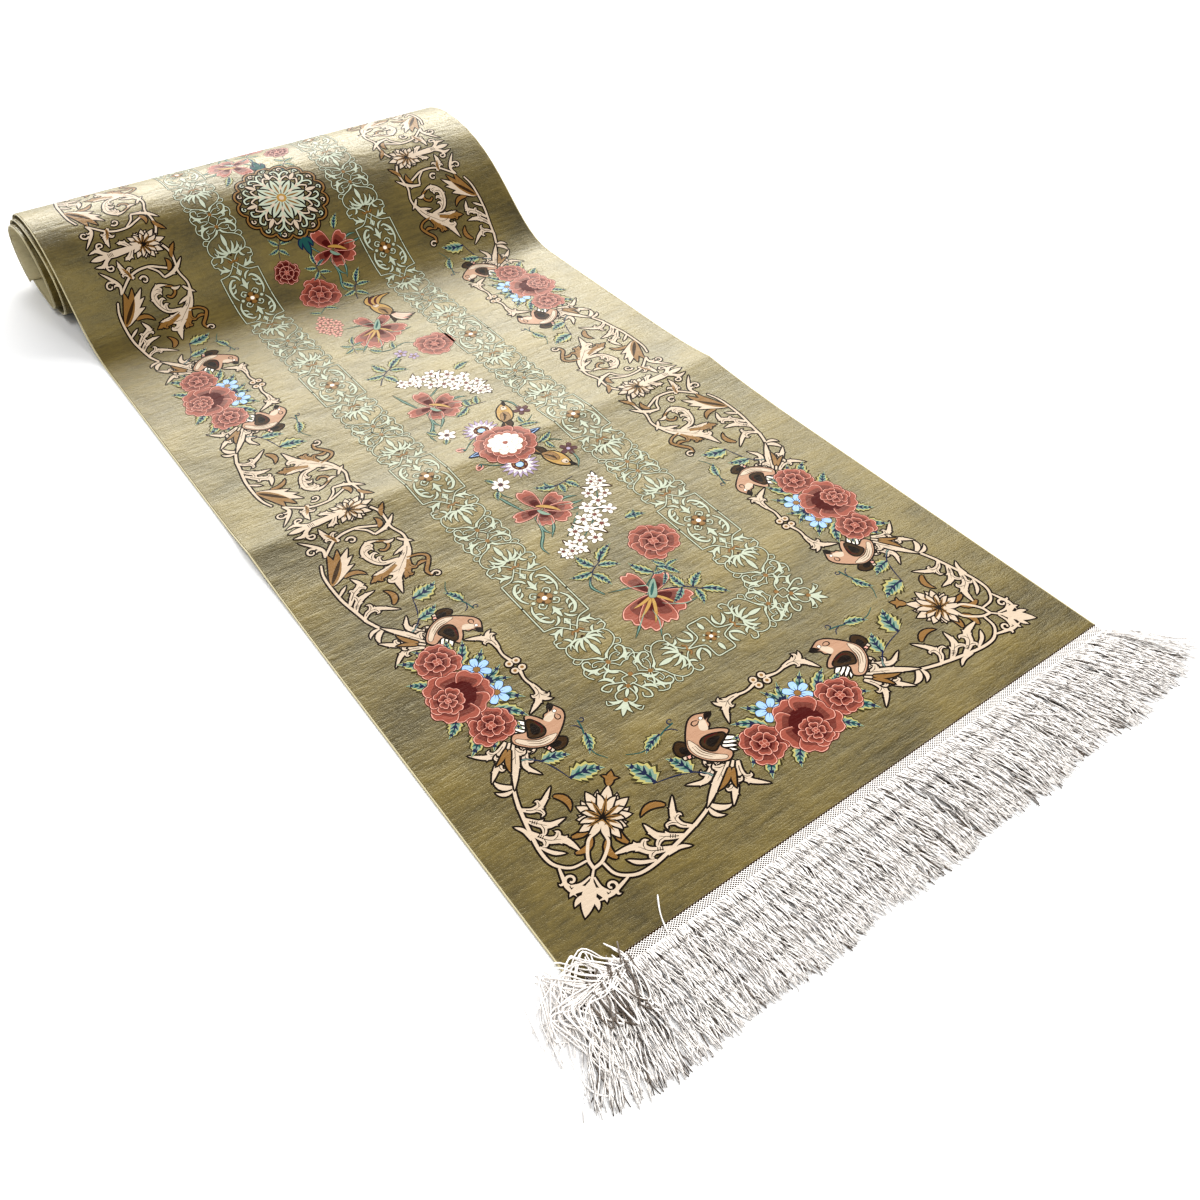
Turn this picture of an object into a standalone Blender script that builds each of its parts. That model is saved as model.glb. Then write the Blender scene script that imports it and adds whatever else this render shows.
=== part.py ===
"""A silk runner rug, laid flat at its near end and rolled up at its far end.

Four pieces, each one closed body: the woven rug, an overcast cord along each long edge, and
the fringe with the netted band that it hangs from. X runs across the rug, Y along it from the
fringe to the roll, and Z is up. The pile side is the upper side, and the outside of the roll.
"""

import math

import bmesh
import bpy

# Driving sizes, in metres.
RUG_WIDTH = 0.800  # over both edge cords
RUG_LENGTH = 2.960  # the whole cloth, as if rolled out
CLOTH = 0.0025  # cloth and pile together
CORD = 0.0024  # diameter of an edge cord
GAP = 0.0003  # left between two pieces that touch

# The fold mark across the flat run: distance past it along the rug, and height there.
FOLD_AT = RUG_LENGTH / 4
FOLD_COLUMNS = ("past", "height")
FOLD = (
    (-0.170, 0.0000),
    (-0.090, 0.0022),
    (-0.035, 0.0052),
    (0.000, 0.0080),
    (0.020, 0.0052),
    (0.060, 0.0018),
    (0.120, 0.0000),
)

# How the rug leaves the floor and comes level at the roll's crown, at its two edges.
END_COLUMNS = ("lift", "near_handle", "far_handle", "centre", "crown")
LEFT_END = (1.285, 0.140, 0.160, 1.562, 0.1450)
RIGHT_END = (1.195, 0.120, 0.200, 1.542, 0.1490)

# The roll is wider than it is high. How far each turn reaches in front of and behind its
# centre; a turn is half an ellipse above and a fuller curve below, where it sags.
TURN_COLUMNS = ("turn", "front", "back")
TURNS = (
    (0.0, 0.118, 0.122),
    (1.0, 0.121, 0.118),
    (2.0, 0.060, 0.111),
    (3.0, 0.052, 0.104),
)
TOP_PITCH = 0.0080  # how far a turn hangs below the one before, at the crown
FLOOR_PITCH = 0.0040  # how far it lies above the one before, underneath
SAG = 0.8  # power of the lower curve; 1.0 would be an ellipse
FLAT_SPOT = 0.0015  # how far the roll's weight presses its underside flat
TELESCOPE = 0.0070  # each turn stands this far further out at the left end
TURN_STEP = 10  # degrees between the stations of a turn
WHOLE_TURNS = 2
TAIL_STEPS = 10

FLAT_STEPS = 8  # before the fold mark
SLACK_STEPS = 4  # after it
RAMP_STEPS = 14
COLUMNS = 4  # strips across the rug's width
CORD_SIDES = 6

# The fringe and its netted band.
BAND_DEPTH = 0.0125
TASSELS = 56
TASSEL_ROOT = 0.0095  # width where a tassel leaves the band
TASSEL_COLUMNS = ("along", "width", "height")
TASSEL = (
    (0.10, 0.0100, 0.0060),
    (0.35, 0.0105, 0.0085),
    (0.70, 0.0085, 0.0070),
    (1.00, 0.0045, 0.0030),
)
# Where the tassels' tips lie: share of the width, drift to the side, reach from the rug.
TIP_COLUMNS = ("across", "drift", "reach")
TIPS = (
    (0.00, -0.070, 0.082),
    (0.05, -0.045, 0.106),
    (0.12, -0.010, 0.118),
    (0.45, 0.012, 0.122),
    (0.75, 0.026, 0.126),
    (0.93, 0.040, 0.116),
    (1.00, 0.058, 0.090),
)


def between(a, b, share):
    return a + (b - a) * share


def look_up(table, columns, key, at, wanted):
    """Reads column `wanted` of a table at `at`, in straight lines between its rows."""
    k, w = columns.index(key), columns.index(wanted)
    if at <= table[0][k]:
        return table[0][w]
    for low, high in zip(table, table[1:]):
        if at <= high[k]:
            return between(low[w], high[w], (at - low[k]) / (high[k] - low[k]))
    return table[-1][w]


def end_size(side, name):
    """A size of the rolled end, at `side` of the width: 0 is the left edge, 1 the right."""
    k = END_COLUMNS.index(name)
    return between(LEFT_END[k], RIGHT_END[k], side)


def fold_height(y):
    return look_up(FOLD, FOLD_COLUMNS, "past", y - FOLD_AT, "height")


def turn_point(side, degrees):
    """The cloth's middle on the roll. Degrees run from the crown over the back and under."""
    turn = degrees / 360
    top = end_size(side, "crown") - CLOTH / 2 - TOP_PITCH * turn
    bottom = CLOTH / 2 + FLOOR_PITCH * max(turn - 0.5, 0.0)
    swing, rise = math.sin(math.radians(degrees)), math.cos(math.radians(degrees))
    if rise < 0:
        swing, rise = math.copysign(abs(swing) ** SAG, swing), -(abs(rise) ** SAG)
    reach = look_up(TURNS, TURN_COLUMNS, "turn", turn, "back" if swing > 0 else "front")
    y = end_size(side, "centre") + reach * swing
    z = (top + bottom) / 2 + (top - bottom) / 2 * rise
    if rise < 0:
        z = max(z + FLAT_SPOT * rise, bottom)
    return -TELESCOPE * turn, y, z


def ramp_point(side, share):
    """A point of the rising cloth: a cubic that starts level on the floor and ends level."""
    crown = turn_point(side, 0)
    start = (end_size(side, "lift"), CLOTH / 2)
    near = (start[0] + end_size(side, "near_handle"), start[1])
    far = (crown[1] - end_size(side, "far_handle"), crown[2])
    weights = (
        (1 - share) ** 3,
        3 * share * (1 - share) ** 2,
        3 * share**2 * (1 - share),
        share**3,
    )
    points = (start, near, far, crown[1:])
    y, z = (sum(w * p[k] for w, p in zip(weights, points)) for k in (0, 1))
    return 0.0, y, z


def run_length(points):
    return sum(math.dist(a, b) for a, b in zip(points, points[1:]))


def cloth_line(side):
    """The middle of the cloth at `side` of the width, from the near end to the wound end.

    Each point is (drift across, y, z). The tail ends where the rug's length is used up.
    """
    line = []
    fold_start = FOLD_AT + FOLD[0][0]
    fold_end = FOLD_AT + FOLD[-1][0]
    flat = [fold_start * k / FLAT_STEPS for k in range(FLAT_STEPS)]
    flat += [FOLD_AT + row[0] for row in FOLD]
    lift = end_size(side, "lift")
    flat += [between(fold_end, lift, k / SLACK_STEPS) for k in range(1, SLACK_STEPS)]
    line += [(0.0, y, CLOTH / 2 + fold_height(y)) for y in flat]
    line += [ramp_point(side, k / RAMP_STEPS) for k in range(RAMP_STEPS)]
    line += [turn_point(side, d) for d in range(0, 360 * WHOLE_TURNS + 1, TURN_STEP)]
    left_over = RUG_LENGTH - run_length(line)
    tail = 360 * WHOLE_TURNS
    while left_over > 0:
        step = turn_point(side, tail + 1), turn_point(side, tail)
        left_over -= math.dist(*step)
        tail += 1
    start = 360 * WHOLE_TURNS
    steps = range(1, TAIL_STEPS + 1)
    line += [turn_point(side, between(start, tail, k / TAIL_STEPS)) for k in steps]
    return line


def normals_of(line):
    """The direction out of the pile side at each point, square to the line in Y and Z."""
    found = []
    last = len(line) - 1
    for k in range(len(line)):
        before, after = line[max(k - 1, 0)], line[min(k + 1, last)]
        dy, dz = after[1] - before[1], after[2] - before[2]
        size = math.hypot(dy, dz)
        found.append((-dz / size, dy / size))
    return found


def new_object(name, bm, colour, roughness):
    """Closes a bmesh into an object with a material of its own."""
    bmesh.ops.recalc_face_normals(bm, faces=bm.faces)
    mesh = bpy.data.meshes.new(name)
    bm.to_mesh(mesh)
    bm.free()
    mesh.shade_smooth()
    mesh.set_sharp_from_angle(angle=math.radians(35))
    material = bpy.data.materials.new(name)
    material.use_nodes = True
    shader = material.node_tree.nodes["Principled BSDF"]
    shader.inputs["Base Color"].default_value = (*colour, 1.0)
    shader.inputs["Roughness"].default_value = roughness
    shader.inputs["Metallic"].default_value = 0.0
    mesh.materials.append(material)
    made = bpy.data.objects.new(name, mesh)
    bpy.context.scene.collection.objects.link(made)
    return made


def skin(bm, rings):
    """Joins closed rings of vertices in order, leaving both ends open."""
    count = len(rings[0])
    for low, high in zip(rings, rings[1:]):
        for k in range(count):
            n = (k + 1) % count
            bm.faces.new((low[k], low[n], high[n], high[k]))


def build_rug():
    """The woven cloth: one sheet that lies, creases, rises and winds."""
    inner = RUG_WIDTH / 2 - CORD - GAP
    bm = bmesh.new()
    upper, lower = [], []
    for c in range(COLUMNS + 1):
        side = c / COLUMNS
        x = between(-inner, inner, side)
        line = cloth_line(side)
        faces = normals_of(line)
        half = CLOTH / 2
        upper.append([bm.verts.new((x + p[0], p[1] + n[0] * half, p[2] + n[1] * half))
                      for p, n in zip(line, faces)])
        lower.append([bm.verts.new((x + p[0], p[1] - n[0] * half, p[2] - n[1] * half))
                      for p, n in zip(line, faces)])
    # Round the section: along the pile side from left to right, then back underneath.
    rings = []
    for k in range(len(upper[0])):
        rings.append([c[k] for c in upper] + [c[k] for c in reversed(lower)])
    skin(bm, rings)
    for row in (0, -1):
        for c in range(COLUMNS):
            bm.faces.new((upper[c][row], upper[c + 1][row], lower[c + 1][row], lower[c][row]))
    return new_object("rug", bm, (0.47, 0.41, 0.24), 0.45)


def build_edge_cord(name, side):
    """The overcast cord along one long edge, wound in with the rug."""
    across = (RUG_WIDTH - CORD) / 2 * (1 if side else -1)
    line = cloth_line(side)
    faces = normals_of(line)
    bm = bmesh.new()
    rings = []
    for point, normal in zip(line, faces):
        ring = []
        for k in range(CORD_SIDES):
            turn = 2 * math.pi * k / CORD_SIDES
            out, up = CORD / 2 * math.cos(turn), CORD / 2 * math.sin(turn)
            ring.append(bm.verts.new((across + point[0] + out,
                                      point[1] + normal[0] * up,
                                      point[2] + normal[1] * up)))
        rings.append(ring)
    skin(bm, rings)
    bm.faces.new(rings[0])
    bm.faces.new(rings[-1])
    return new_object(name, bm, (0.80, 0.76, 0.62), 0.6)


def tassel_section(root, tip, along):
    """Width, height and middle of a tassel, `along` its length from the band to its tip."""
    width = look_up(TASSEL, TASSEL_COLUMNS, "along", along, "width")
    height = look_up(TASSEL, TASSEL_COLUMNS, "along", along, "height")
    x = between(root[0], tip[0], along**1.4)
    y = between(root[1], tip[1], along)
    return width, height, x, y


def build_fringe():
    """The netted band and its tassels, as one comb."""
    pitch = RUG_WIDTH / TASSELS
    back, front = -GAP, -GAP - BAND_DEPTH
    bm = bmesh.new()
    stations = [-RUG_WIDTH / 2]
    for k in range(TASSELS):
        middle = -RUG_WIDTH / 2 + pitch * (k + 0.5)
        stations += [middle - TASSEL_ROOT / 2, middle + TASSEL_ROOT / 2]
    stations.append(RUG_WIDTH / 2)
    rings = [[bm.verts.new((x, y, z)) for y, z in
              ((back, 0.0), (back, CLOTH), (front, CLOTH), (front, 0.0))] for x in stations]
    skin(bm, rings)
    bm.faces.new(rings[0])
    bm.faces.new(rings[-1])
    for k in range(TASSELS):
        left, right = rings[2 * k + 1], rings[2 * k + 2]
        face = bm.faces.get((left[2], left[3], right[3], right[2]))
        middle = -RUG_WIDTH / 2 + pitch * (k + 0.5)
        across = (k + 0.5) / TASSELS
        drift = look_up(TIPS, TIP_COLUMNS, "across", across, "drift")
        reach = look_up(TIPS, TIP_COLUMNS, "across", across, "reach")
        root, tip = (middle, front), (middle + drift, -reach)
        for row in TASSEL:
            width, height, x, y = tassel_section(root, tip, row[0])
            face = bmesh.ops.extrude_discrete_faces(bm, faces=[face])["faces"][0]
            middle_x = sum(v.co.x for v in face.verts) / 4
            for vert in face.verts:
                out = width / 2 if vert.co.x > middle_x else -width / 2
                up = height if vert.co.z > CLOTH / 4 else 0.0
                vert.co = (x + out, y, up)
    return new_object("fringe", bm, (0.83, 0.80, 0.74), 0.7)


def centre_on_floor(objects):
    """Moves every mesh so that the origin is under the middle of the whole rug."""
    corners = [v.co for made in objects for v in made.data.vertices]
    x = (min(c.x for c in corners) + max(c.x for c in corners)) / 2
    y = (min(c.y for c in corners) + max(c.y for c in corners)) / 2
    for made in objects:
        for v in made.data.vertices:
            v.co.x -= x
            v.co.y -= y


def main():
    for old in list(bpy.data.objects):
        bpy.data.objects.remove(old, do_unlink=True)
    pieces = [
        build_rug(),
        build_edge_cord("edge_cord_left", 0.0),
        build_edge_cord("edge_cord_right", 1.0),
        build_fringe(),
    ]
    centre_on_floor(pieces)


main()
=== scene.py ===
"""Looks for a silk runner rug, laid flat at its fringed end and rolled up at its far end.

The flat rug is drawn in millimetres: u across it from its left edge, v along it from the
fringed end. The rug's own path then carries every drawn point onto the lying, creased and
wound cloth. X runs across the rug, Y along it and Z up, in metres.
"""

import math

import bmesh
import bpy
import numpy as np
from mathutils import Euler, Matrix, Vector
from mathutils.geometry import delaunay_2d_cdt


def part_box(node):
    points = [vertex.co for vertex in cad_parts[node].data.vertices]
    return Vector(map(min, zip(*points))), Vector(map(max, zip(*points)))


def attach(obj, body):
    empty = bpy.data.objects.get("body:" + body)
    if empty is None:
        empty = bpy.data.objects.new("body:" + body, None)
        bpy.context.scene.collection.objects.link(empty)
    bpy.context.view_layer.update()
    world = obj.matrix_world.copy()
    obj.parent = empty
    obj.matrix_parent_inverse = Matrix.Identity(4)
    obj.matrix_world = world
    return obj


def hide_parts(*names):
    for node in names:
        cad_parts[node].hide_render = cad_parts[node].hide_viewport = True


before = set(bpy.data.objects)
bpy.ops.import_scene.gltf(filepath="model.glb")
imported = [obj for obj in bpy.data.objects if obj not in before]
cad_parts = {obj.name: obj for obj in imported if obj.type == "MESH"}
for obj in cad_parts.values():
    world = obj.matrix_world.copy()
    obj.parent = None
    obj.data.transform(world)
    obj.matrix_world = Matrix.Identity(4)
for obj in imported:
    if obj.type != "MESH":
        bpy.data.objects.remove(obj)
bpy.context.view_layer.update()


def deselect():
    bpy.ops.object.select_all(action="DESELECT")


deselect()

# Driving sizes of the rug, in metres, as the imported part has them.
RUG_WIDTH = 0.800
RUG_LENGTH = 2.960
CLOTH = 0.0025
CORD = 0.0024
GAP = 0.0003

FOLD_AT = RUG_LENGTH / 4
FOLD_COLUMNS = ("past", "height")
FOLD = (
    (-0.170, 0.0000),
    (-0.090, 0.0022),
    (-0.035, 0.0052),
    (0.000, 0.0080),
    (0.020, 0.0052),
    (0.060, 0.0018),
    (0.120, 0.0000),
)
END_COLUMNS = ("lift", "near_handle", "far_handle", "centre", "crown")
LEFT_END = (1.285, 0.140, 0.160, 1.562, 0.1450)
RIGHT_END = (1.195, 0.120, 0.200, 1.542, 0.1490)
TURN_COLUMNS = ("turn", "front", "back")
TURNS = (
    (0.0, 0.118, 0.122),
    (1.0, 0.121, 0.118),
    (2.0, 0.060, 0.111),
    (3.0, 0.052, 0.104),
)
TOP_PITCH = 0.0080
FLOOR_PITCH = 0.0040
SAG = 0.8
FLAT_SPOT = 0.0015
TELESCOPE = 0.0070

# Where the flat rug's corner lies in the frame: its left edge and its fringed edge.
LEFT_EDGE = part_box("edge_cord_right")[1].x - RUG_WIDTH
NEAR_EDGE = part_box("rug")[0].y
FLOOR_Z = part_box("rug")[0].z

# ---------------------------------------------------------------- the cloth's path


def between(a, b, share):
    """The value `share` of the way from a to b."""
    return a + (b - a) * share


def look_up(table, columns, key, at, wanted):
    """Reads column `wanted` of a table at `at`, in straight lines between its rows."""
    k, w = columns.index(key), columns.index(wanted)
    if at <= table[0][k]:
        return table[0][w]
    for low, high in zip(table, table[1:]):
        if at <= high[k]:
            return between(low[w], high[w], (at - low[k]) / (high[k] - low[k]))
    return table[-1][w]


def end_size(side, name):
    """A size of the roll at `side`: 0 is the rug's left edge and 1 its right."""
    k = END_COLUMNS.index(name)
    return between(LEFT_END[k], RIGHT_END[k], side)


def turn_point(side, degrees):
    """The cloth's middle on the roll. Degrees run from the crown over the back and under."""
    turn = degrees / 360
    top = end_size(side, "crown") - CLOTH / 2 - TOP_PITCH * turn
    bottom = CLOTH / 2 + FLOOR_PITCH * max(turn - 0.5, 0.0)
    swing, rise = math.sin(math.radians(degrees)), math.cos(math.radians(degrees))
    if rise < 0:
        swing, rise = math.copysign(abs(swing) ** SAG, swing), -(abs(rise) ** SAG)
    reach = look_up(TURNS, TURN_COLUMNS, "turn", turn, "back" if swing > 0 else "front")
    y = end_size(side, "centre") + reach * swing
    z = (top + bottom) / 2 + (top - bottom) / 2 * rise
    if rise < 0:
        z = max(z + FLAT_SPOT * rise, bottom)
    return -TELESCOPE * turn, y, z


def ramp_point(side, share):
    """A point of the rising cloth: a cubic that starts level on the floor and ends level."""
    crown = turn_point(side, 0)
    start = (end_size(side, "lift"), CLOTH / 2)
    near = (start[0] + end_size(side, "near_handle"), start[1])
    far = (crown[1] - end_size(side, "far_handle"), crown[2])
    weights = (
        (1 - share) ** 3,
        3 * share * (1 - share) ** 2,
        3 * share**2 * (1 - share),
        share**3,
    )
    points = (start, near, far, crown[1:])
    y, z = (sum(w * p[k] for w, p in zip(weights, points)) for k in (0, 1))
    return 0.0, y, z


FLAT_STEP = 0.010
RAMP_STEPS = 60
TURN_STEP = 4  # degrees
MOST_TURNS = 3


def cloth_line(side):
    """The middle of the cloth at `side` of the width, as (drift across, y, z) points."""
    lift = end_size(side, "lift")
    flat = np.arange(0.0, lift, FLAT_STEP)
    line = [(0.0, y, CLOTH / 2 + look_up(FOLD, FOLD_COLUMNS, "past", y - FOLD_AT, "height"))
            for y in flat]
    line += [ramp_point(side, k / RAMP_STEPS) for k in range(RAMP_STEPS)]
    line += [turn_point(side, d) for d in range(0, 360 * MOST_TURNS, TURN_STEP)]
    return np.array(line)


ROWS = np.unique(np.round(np.concatenate([
    np.arange(0.00, 0.56, 0.04),
    np.arange(0.56, 0.88, 0.01),
    np.arange(0.88, 1.16, 0.04),
    np.linspace(1.16, RUG_LENGTH, 300),
]), 6))
COLUMNS = 16


class Cloth:
    """The pile surface as a grid of points over the flat rug, read in straight lines."""

    def __init__(self):
        self.sides = np.linspace(0.0, 1.0, COLUMNS + 1)
        self.points = np.zeros((COLUMNS + 1, len(ROWS), 3))
        self.normals = np.zeros_like(self.points)
        for c, side in enumerate(self.sides):
            line = cloth_line(side)
            run = np.concatenate([[0], np.cumsum(np.linalg.norm(np.diff(line, axis=0), axis=1))])
            at = np.stack([np.interp(ROWS, run, line[:, k]) for k in range(3)], axis=1)
            ahead = np.gradient(at[:, 1:], ROWS, axis=0)
            ahead /= np.linalg.norm(ahead, axis=1)[:, None]
            normal = np.stack([np.zeros(len(ROWS)), -ahead[:, 1], ahead[:, 0]], axis=1)
            self.normals[c] = normal
            self.points[c] = at + normal * CLOTH / 2
            self.points[c, :, 0] += LEFT_EDGE + side * RUG_WIDTH
            self.points[c, :, 1] += NEAR_EDGE
            self.points[c, :, 2] += FLOOR_Z

    def at(self, u, v, lift=0.0):
        """Points and normals of the pile at flat places (u, v), in metres, raised by lift."""
        c = np.clip(u / RUG_WIDTH * COLUMNS, 0, COLUMNS - 1e-6)
        ci = c.astype(int)
        cf = (c - ci)[:, None]
        r = np.clip(np.interp(v, ROWS, np.arange(len(ROWS))), 0, len(ROWS) - 1 - 1e-6)
        ri = r.astype(int)
        rf = (r - ri)[:, None]

        def read(grid):
            low = grid[ci, ri] * (1 - rf) + grid[ci, ri + 1] * rf
            high = grid[ci + 1, ri] * (1 - rf) + grid[ci + 1, ri + 1] * rf
            return low * (1 - cf) + high * cf

        normals = read(self.normals)
        normals /= np.linalg.norm(normals, axis=1)[:, None]
        return read(self.points) + normals * np.reshape(lift, (-1, 1)), normals


cloth = Cloth()

# ---------------------------------------------------------------- materials


def linear(code):
    """A colour written as six hex digits, as the shader wants it."""
    parts = [int(code[k:k + 2], 16) / 255 for k in (0, 2, 4)]
    return tuple(p / 12.92 if p <= 0.04045 else ((p + 0.055) / 1.055) ** 2.4 for p in parts)


# The unevenness of silk pile, layer by layer: the size of its patches across and along the rug
# and how far they stand up, in metres, its detail and seed, and the control that scales it.
PILE_LAYERS = {
    "cloud": (0.120, 0.085, 0.00300, 3.0, 3.1, "Cloud"),
    "streak": (0.050, 0.0075, 0.00050, 2.0, 7.7, "Streak"),
    "comb": (0.020, 0.0016, 0.00009, 1.0, 5.3, "Streak"),
    "knots": (0.0011, 0.0011, 0.00016, 0.0, 1.9, "Knots"),
    "grain": (0.0060, 0.0026, 0.00030, 2.0, 9.3, "Knots"),
}
SHADE_SHARES = (("cloud", 0.52), ("streak", 0.26), ("grain", 0.22))
ROUGHNESS_SWING = 0.12


def silk_pile_group():
    """Nap and knots of silk pile, read from the flat rug's own UV map.

    Cloud tilts the pile in broad soft patches, as a hand leaves it; Streak combs it in fine
    lines across the rug; Knots are the small even grain of the rows.
    """
    tree = bpy.data.node_groups.new("silk pile", "ShaderNodeTree")
    face = tree.interface
    for name, start in (("Cloud", 1.0), ("Streak", 1.0), ("Knots", 1.0), ("Roughness", 0.45)):
        socket = face.new_socket(name, in_out="INPUT", socket_type="NodeSocketFloat")
        socket.default_value = start
    face.new_socket("Shade", in_out="OUTPUT", socket_type="NodeSocketFloat")
    face.new_socket("Roughness", in_out="OUTPUT", socket_type="NodeSocketFloat")
    face.new_socket("Normal", in_out="OUTPUT", socket_type="NodeSocketVector")
    nodes, links = tree.nodes, tree.links
    given = nodes.new("NodeGroupInput")
    made = nodes.new("NodeGroupOutput")
    uv = nodes.new("ShaderNodeUVMap")
    uv.uv_map = "OFBake"

    def noise(size_u, size_v, detail, seed):
        """Noise whose patches are about size_u by size_v metres on the flat rug."""
        mapping = nodes.new("ShaderNodeMapping")
        mapping.inputs["Location"].default_value = (seed, seed * 1.7, 0.0)
        mapping.inputs["Scale"].default_value = (RUG_WIDTH / size_u, RUG_LENGTH / size_v, 1.0)
        links.new(uv.outputs["UV"], mapping.inputs["Vector"])
        texture = nodes.new("ShaderNodeTexNoise")
        texture.noise_dimensions = "2D"
        texture.inputs["Scale"].default_value = 1.0
        texture.inputs["Detail"].default_value = detail
        texture.inputs["Roughness"].default_value = 0.55
        links.new(mapping.outputs["Vector"], texture.inputs["Vector"])
        return texture.outputs["Fac"]

    def maths(kind, a, b):
        node = nodes.new("ShaderNodeMath")
        node.operation = kind
        for socket, value in zip(node.inputs, (a, b)):
            if isinstance(value, (int, float)):
                socket.default_value = value
            else:
                links.new(value, socket)
        return node.outputs["Value"]

    def total(values):
        """The sum of several outputs, added one after another."""
        result = values[0]
        for value in values[1:]:
            result = maths("ADD", result, value)
        return result

    layers, heights = {}, []
    for name, (size_u, size_v, rise, detail, seed, control) in PILE_LAYERS.items():
        layers[name] = noise(size_u, size_v, detail, seed)
        heights.append(maths("MULTIPLY", maths("MULTIPLY", layers[name], given.outputs[control]), rise))
    bump = nodes.new("ShaderNodeBump")
    bump.inputs["Strength"].default_value = 1.0
    bump.inputs["Distance"].default_value = 1.0
    links.new(total(heights), bump.inputs["Height"])
    links.new(bump.outputs["Normal"], made.inputs["Normal"])
    shades = [maths("MULTIPLY", layers[name], share) for name, share in SHADE_SHARES]
    links.new(total(shades), made.inputs["Shade"])
    swing = maths("MULTIPLY", maths("SUBTRACT", layers["streak"], 0.5), ROUGHNESS_SWING)
    links.new(maths("ADD", given.outputs["Roughness"], swing), made.inputs["Roughness"])
    return tree


silk_group = silk_pile_group()


SILK_GLOW = (0.95, 0.84, 0.46, 1.0)  # the warm tint of the pile's sheen
SILK_GLINT = (1.0, 0.90, 0.55, 1.0)  # and of its highlights


def silk(name, colour, sheen, shine=0.3, roughness=0.45, ground=None):
    """Silk pile of one dye. With `ground`, the dye wanders a little towards that colour."""
    material = bpy.data.materials.new(name)
    material.use_nodes = True
    nodes, links = material.node_tree.nodes, material.node_tree.links
    shader = nodes["Principled BSDF"]
    pile = nodes.new("ShaderNodeGroup")
    pile.node_tree = silk_group
    pile.inputs["Roughness"].default_value = roughness
    shader.inputs["Base Color"].default_value = (*linear(colour), 1.0)
    shader.inputs["Specular IOR Level"].default_value = shine
    shader.inputs["Sheen Weight"].default_value = sheen
    shader.inputs["Sheen Roughness"].default_value = 0.4
    shader.inputs["Sheen Tint"].default_value = SILK_GLOW
    shader.inputs["Specular Tint"].default_value = SILK_GLINT
    links.new(pile.outputs["Roughness"], shader.inputs["Roughness"])
    links.new(pile.outputs["Normal"], shader.inputs["Normal"])
    if ground:
        mix = nodes.new("ShaderNodeMix")
        mix.data_type = "RGBA"
        mix.inputs["A"].default_value = (*linear(colour), 1.0)
        mix.inputs["B"].default_value = (*linear(ground), 1.0)
        spread = nodes.new("ShaderNodeMapRange")
        spread.inputs["From Min"].default_value = 0.35
        spread.inputs["From Max"].default_value = 0.65
        links.new(pile.outputs["Shade"], spread.inputs["Value"])
        links.new(spread.outputs["Result"], mix.inputs["Factor"])
        links.new(mix.outputs["Result"], shader.inputs["Base Color"])
    return material


GROUND = silk("olive champagne ground", "2e240b", 0.26, 0.8, roughness=0.40, ground="61511e")
BACK = silk("cream knotted back", "cfc6a6", 0.15, roughness=0.6, ground="bfb592")


def plain_yarn(name, colour, roughness, bump_size):
    """Undyed yarn that doesn't follow the flat rug, such as the fringe."""
    material = bpy.data.materials.new(name)
    material.use_nodes = True
    nodes, links = material.node_tree.nodes, material.node_tree.links
    shader = nodes["Principled BSDF"]
    shader.inputs["Base Color"].default_value = (*linear(colour), 1.0)
    shader.inputs["Sheen Weight"].default_value = 0.3
    shader.inputs["Roughness"].default_value = roughness
    place = nodes.new("ShaderNodeTexCoord")
    grain = nodes.new("ShaderNodeTexNoise")
    grain.inputs["Scale"].default_value = 1 / bump_size
    grain.inputs["Detail"].default_value = 2.0
    bump = nodes.new("ShaderNodeBump")
    bump.inputs["Strength"].default_value = 0.5
    bump.inputs["Distance"].default_value = bump_size * 0.3
    links.new(place.outputs["Object"], grain.inputs["Vector"])
    links.new(grain.outputs["Fac"], bump.inputs["Height"])
    links.new(bump.outputs["Normal"], shader.inputs["Normal"])
    return material


CORD_YARN = plain_yarn("cream overcast yarn", "b8ad88", 0.6, 0.002)
FRINGE_YARN = plain_yarn("undyed fringe yarn", "fcf7f2", 0.6, 0.0012)
# The darker yarn is painted shade: a darker copy of the same undyed yarn, for strands in the others'
# shadow.
SHADE_PAINTED_YARN = plain_yarn("fringe yarn painted as shade", "65584c", 0.7, 0.0012)
# The heading is painted near black: the shade seen through the net's holes.
HEADING_SHADE_PAINT = plain_yarn("heading yarn painted as shade", "2e271d", 0.8, 0.0012)

# ---------------------------------------------------------------- the rug itself


def add_uv(mesh, flat):
    """Gives a mesh the flat rug's UV map, from each vertex's flat place in metres."""
    layer = mesh.uv_layers.new(name="OFBake")
    corners = np.zeros(len(mesh.loops), np.int32)
    mesh.loops.foreach_get("vertex_index", corners)
    uv = flat[corners] / np.array([RUG_WIDTH, RUG_LENGTH])
    layer.data.foreach_set("uv", uv.astype(np.float32).ravel())


CORNER_ANGLE = 50  # degrees; edges sharper than this stay crisp


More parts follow.
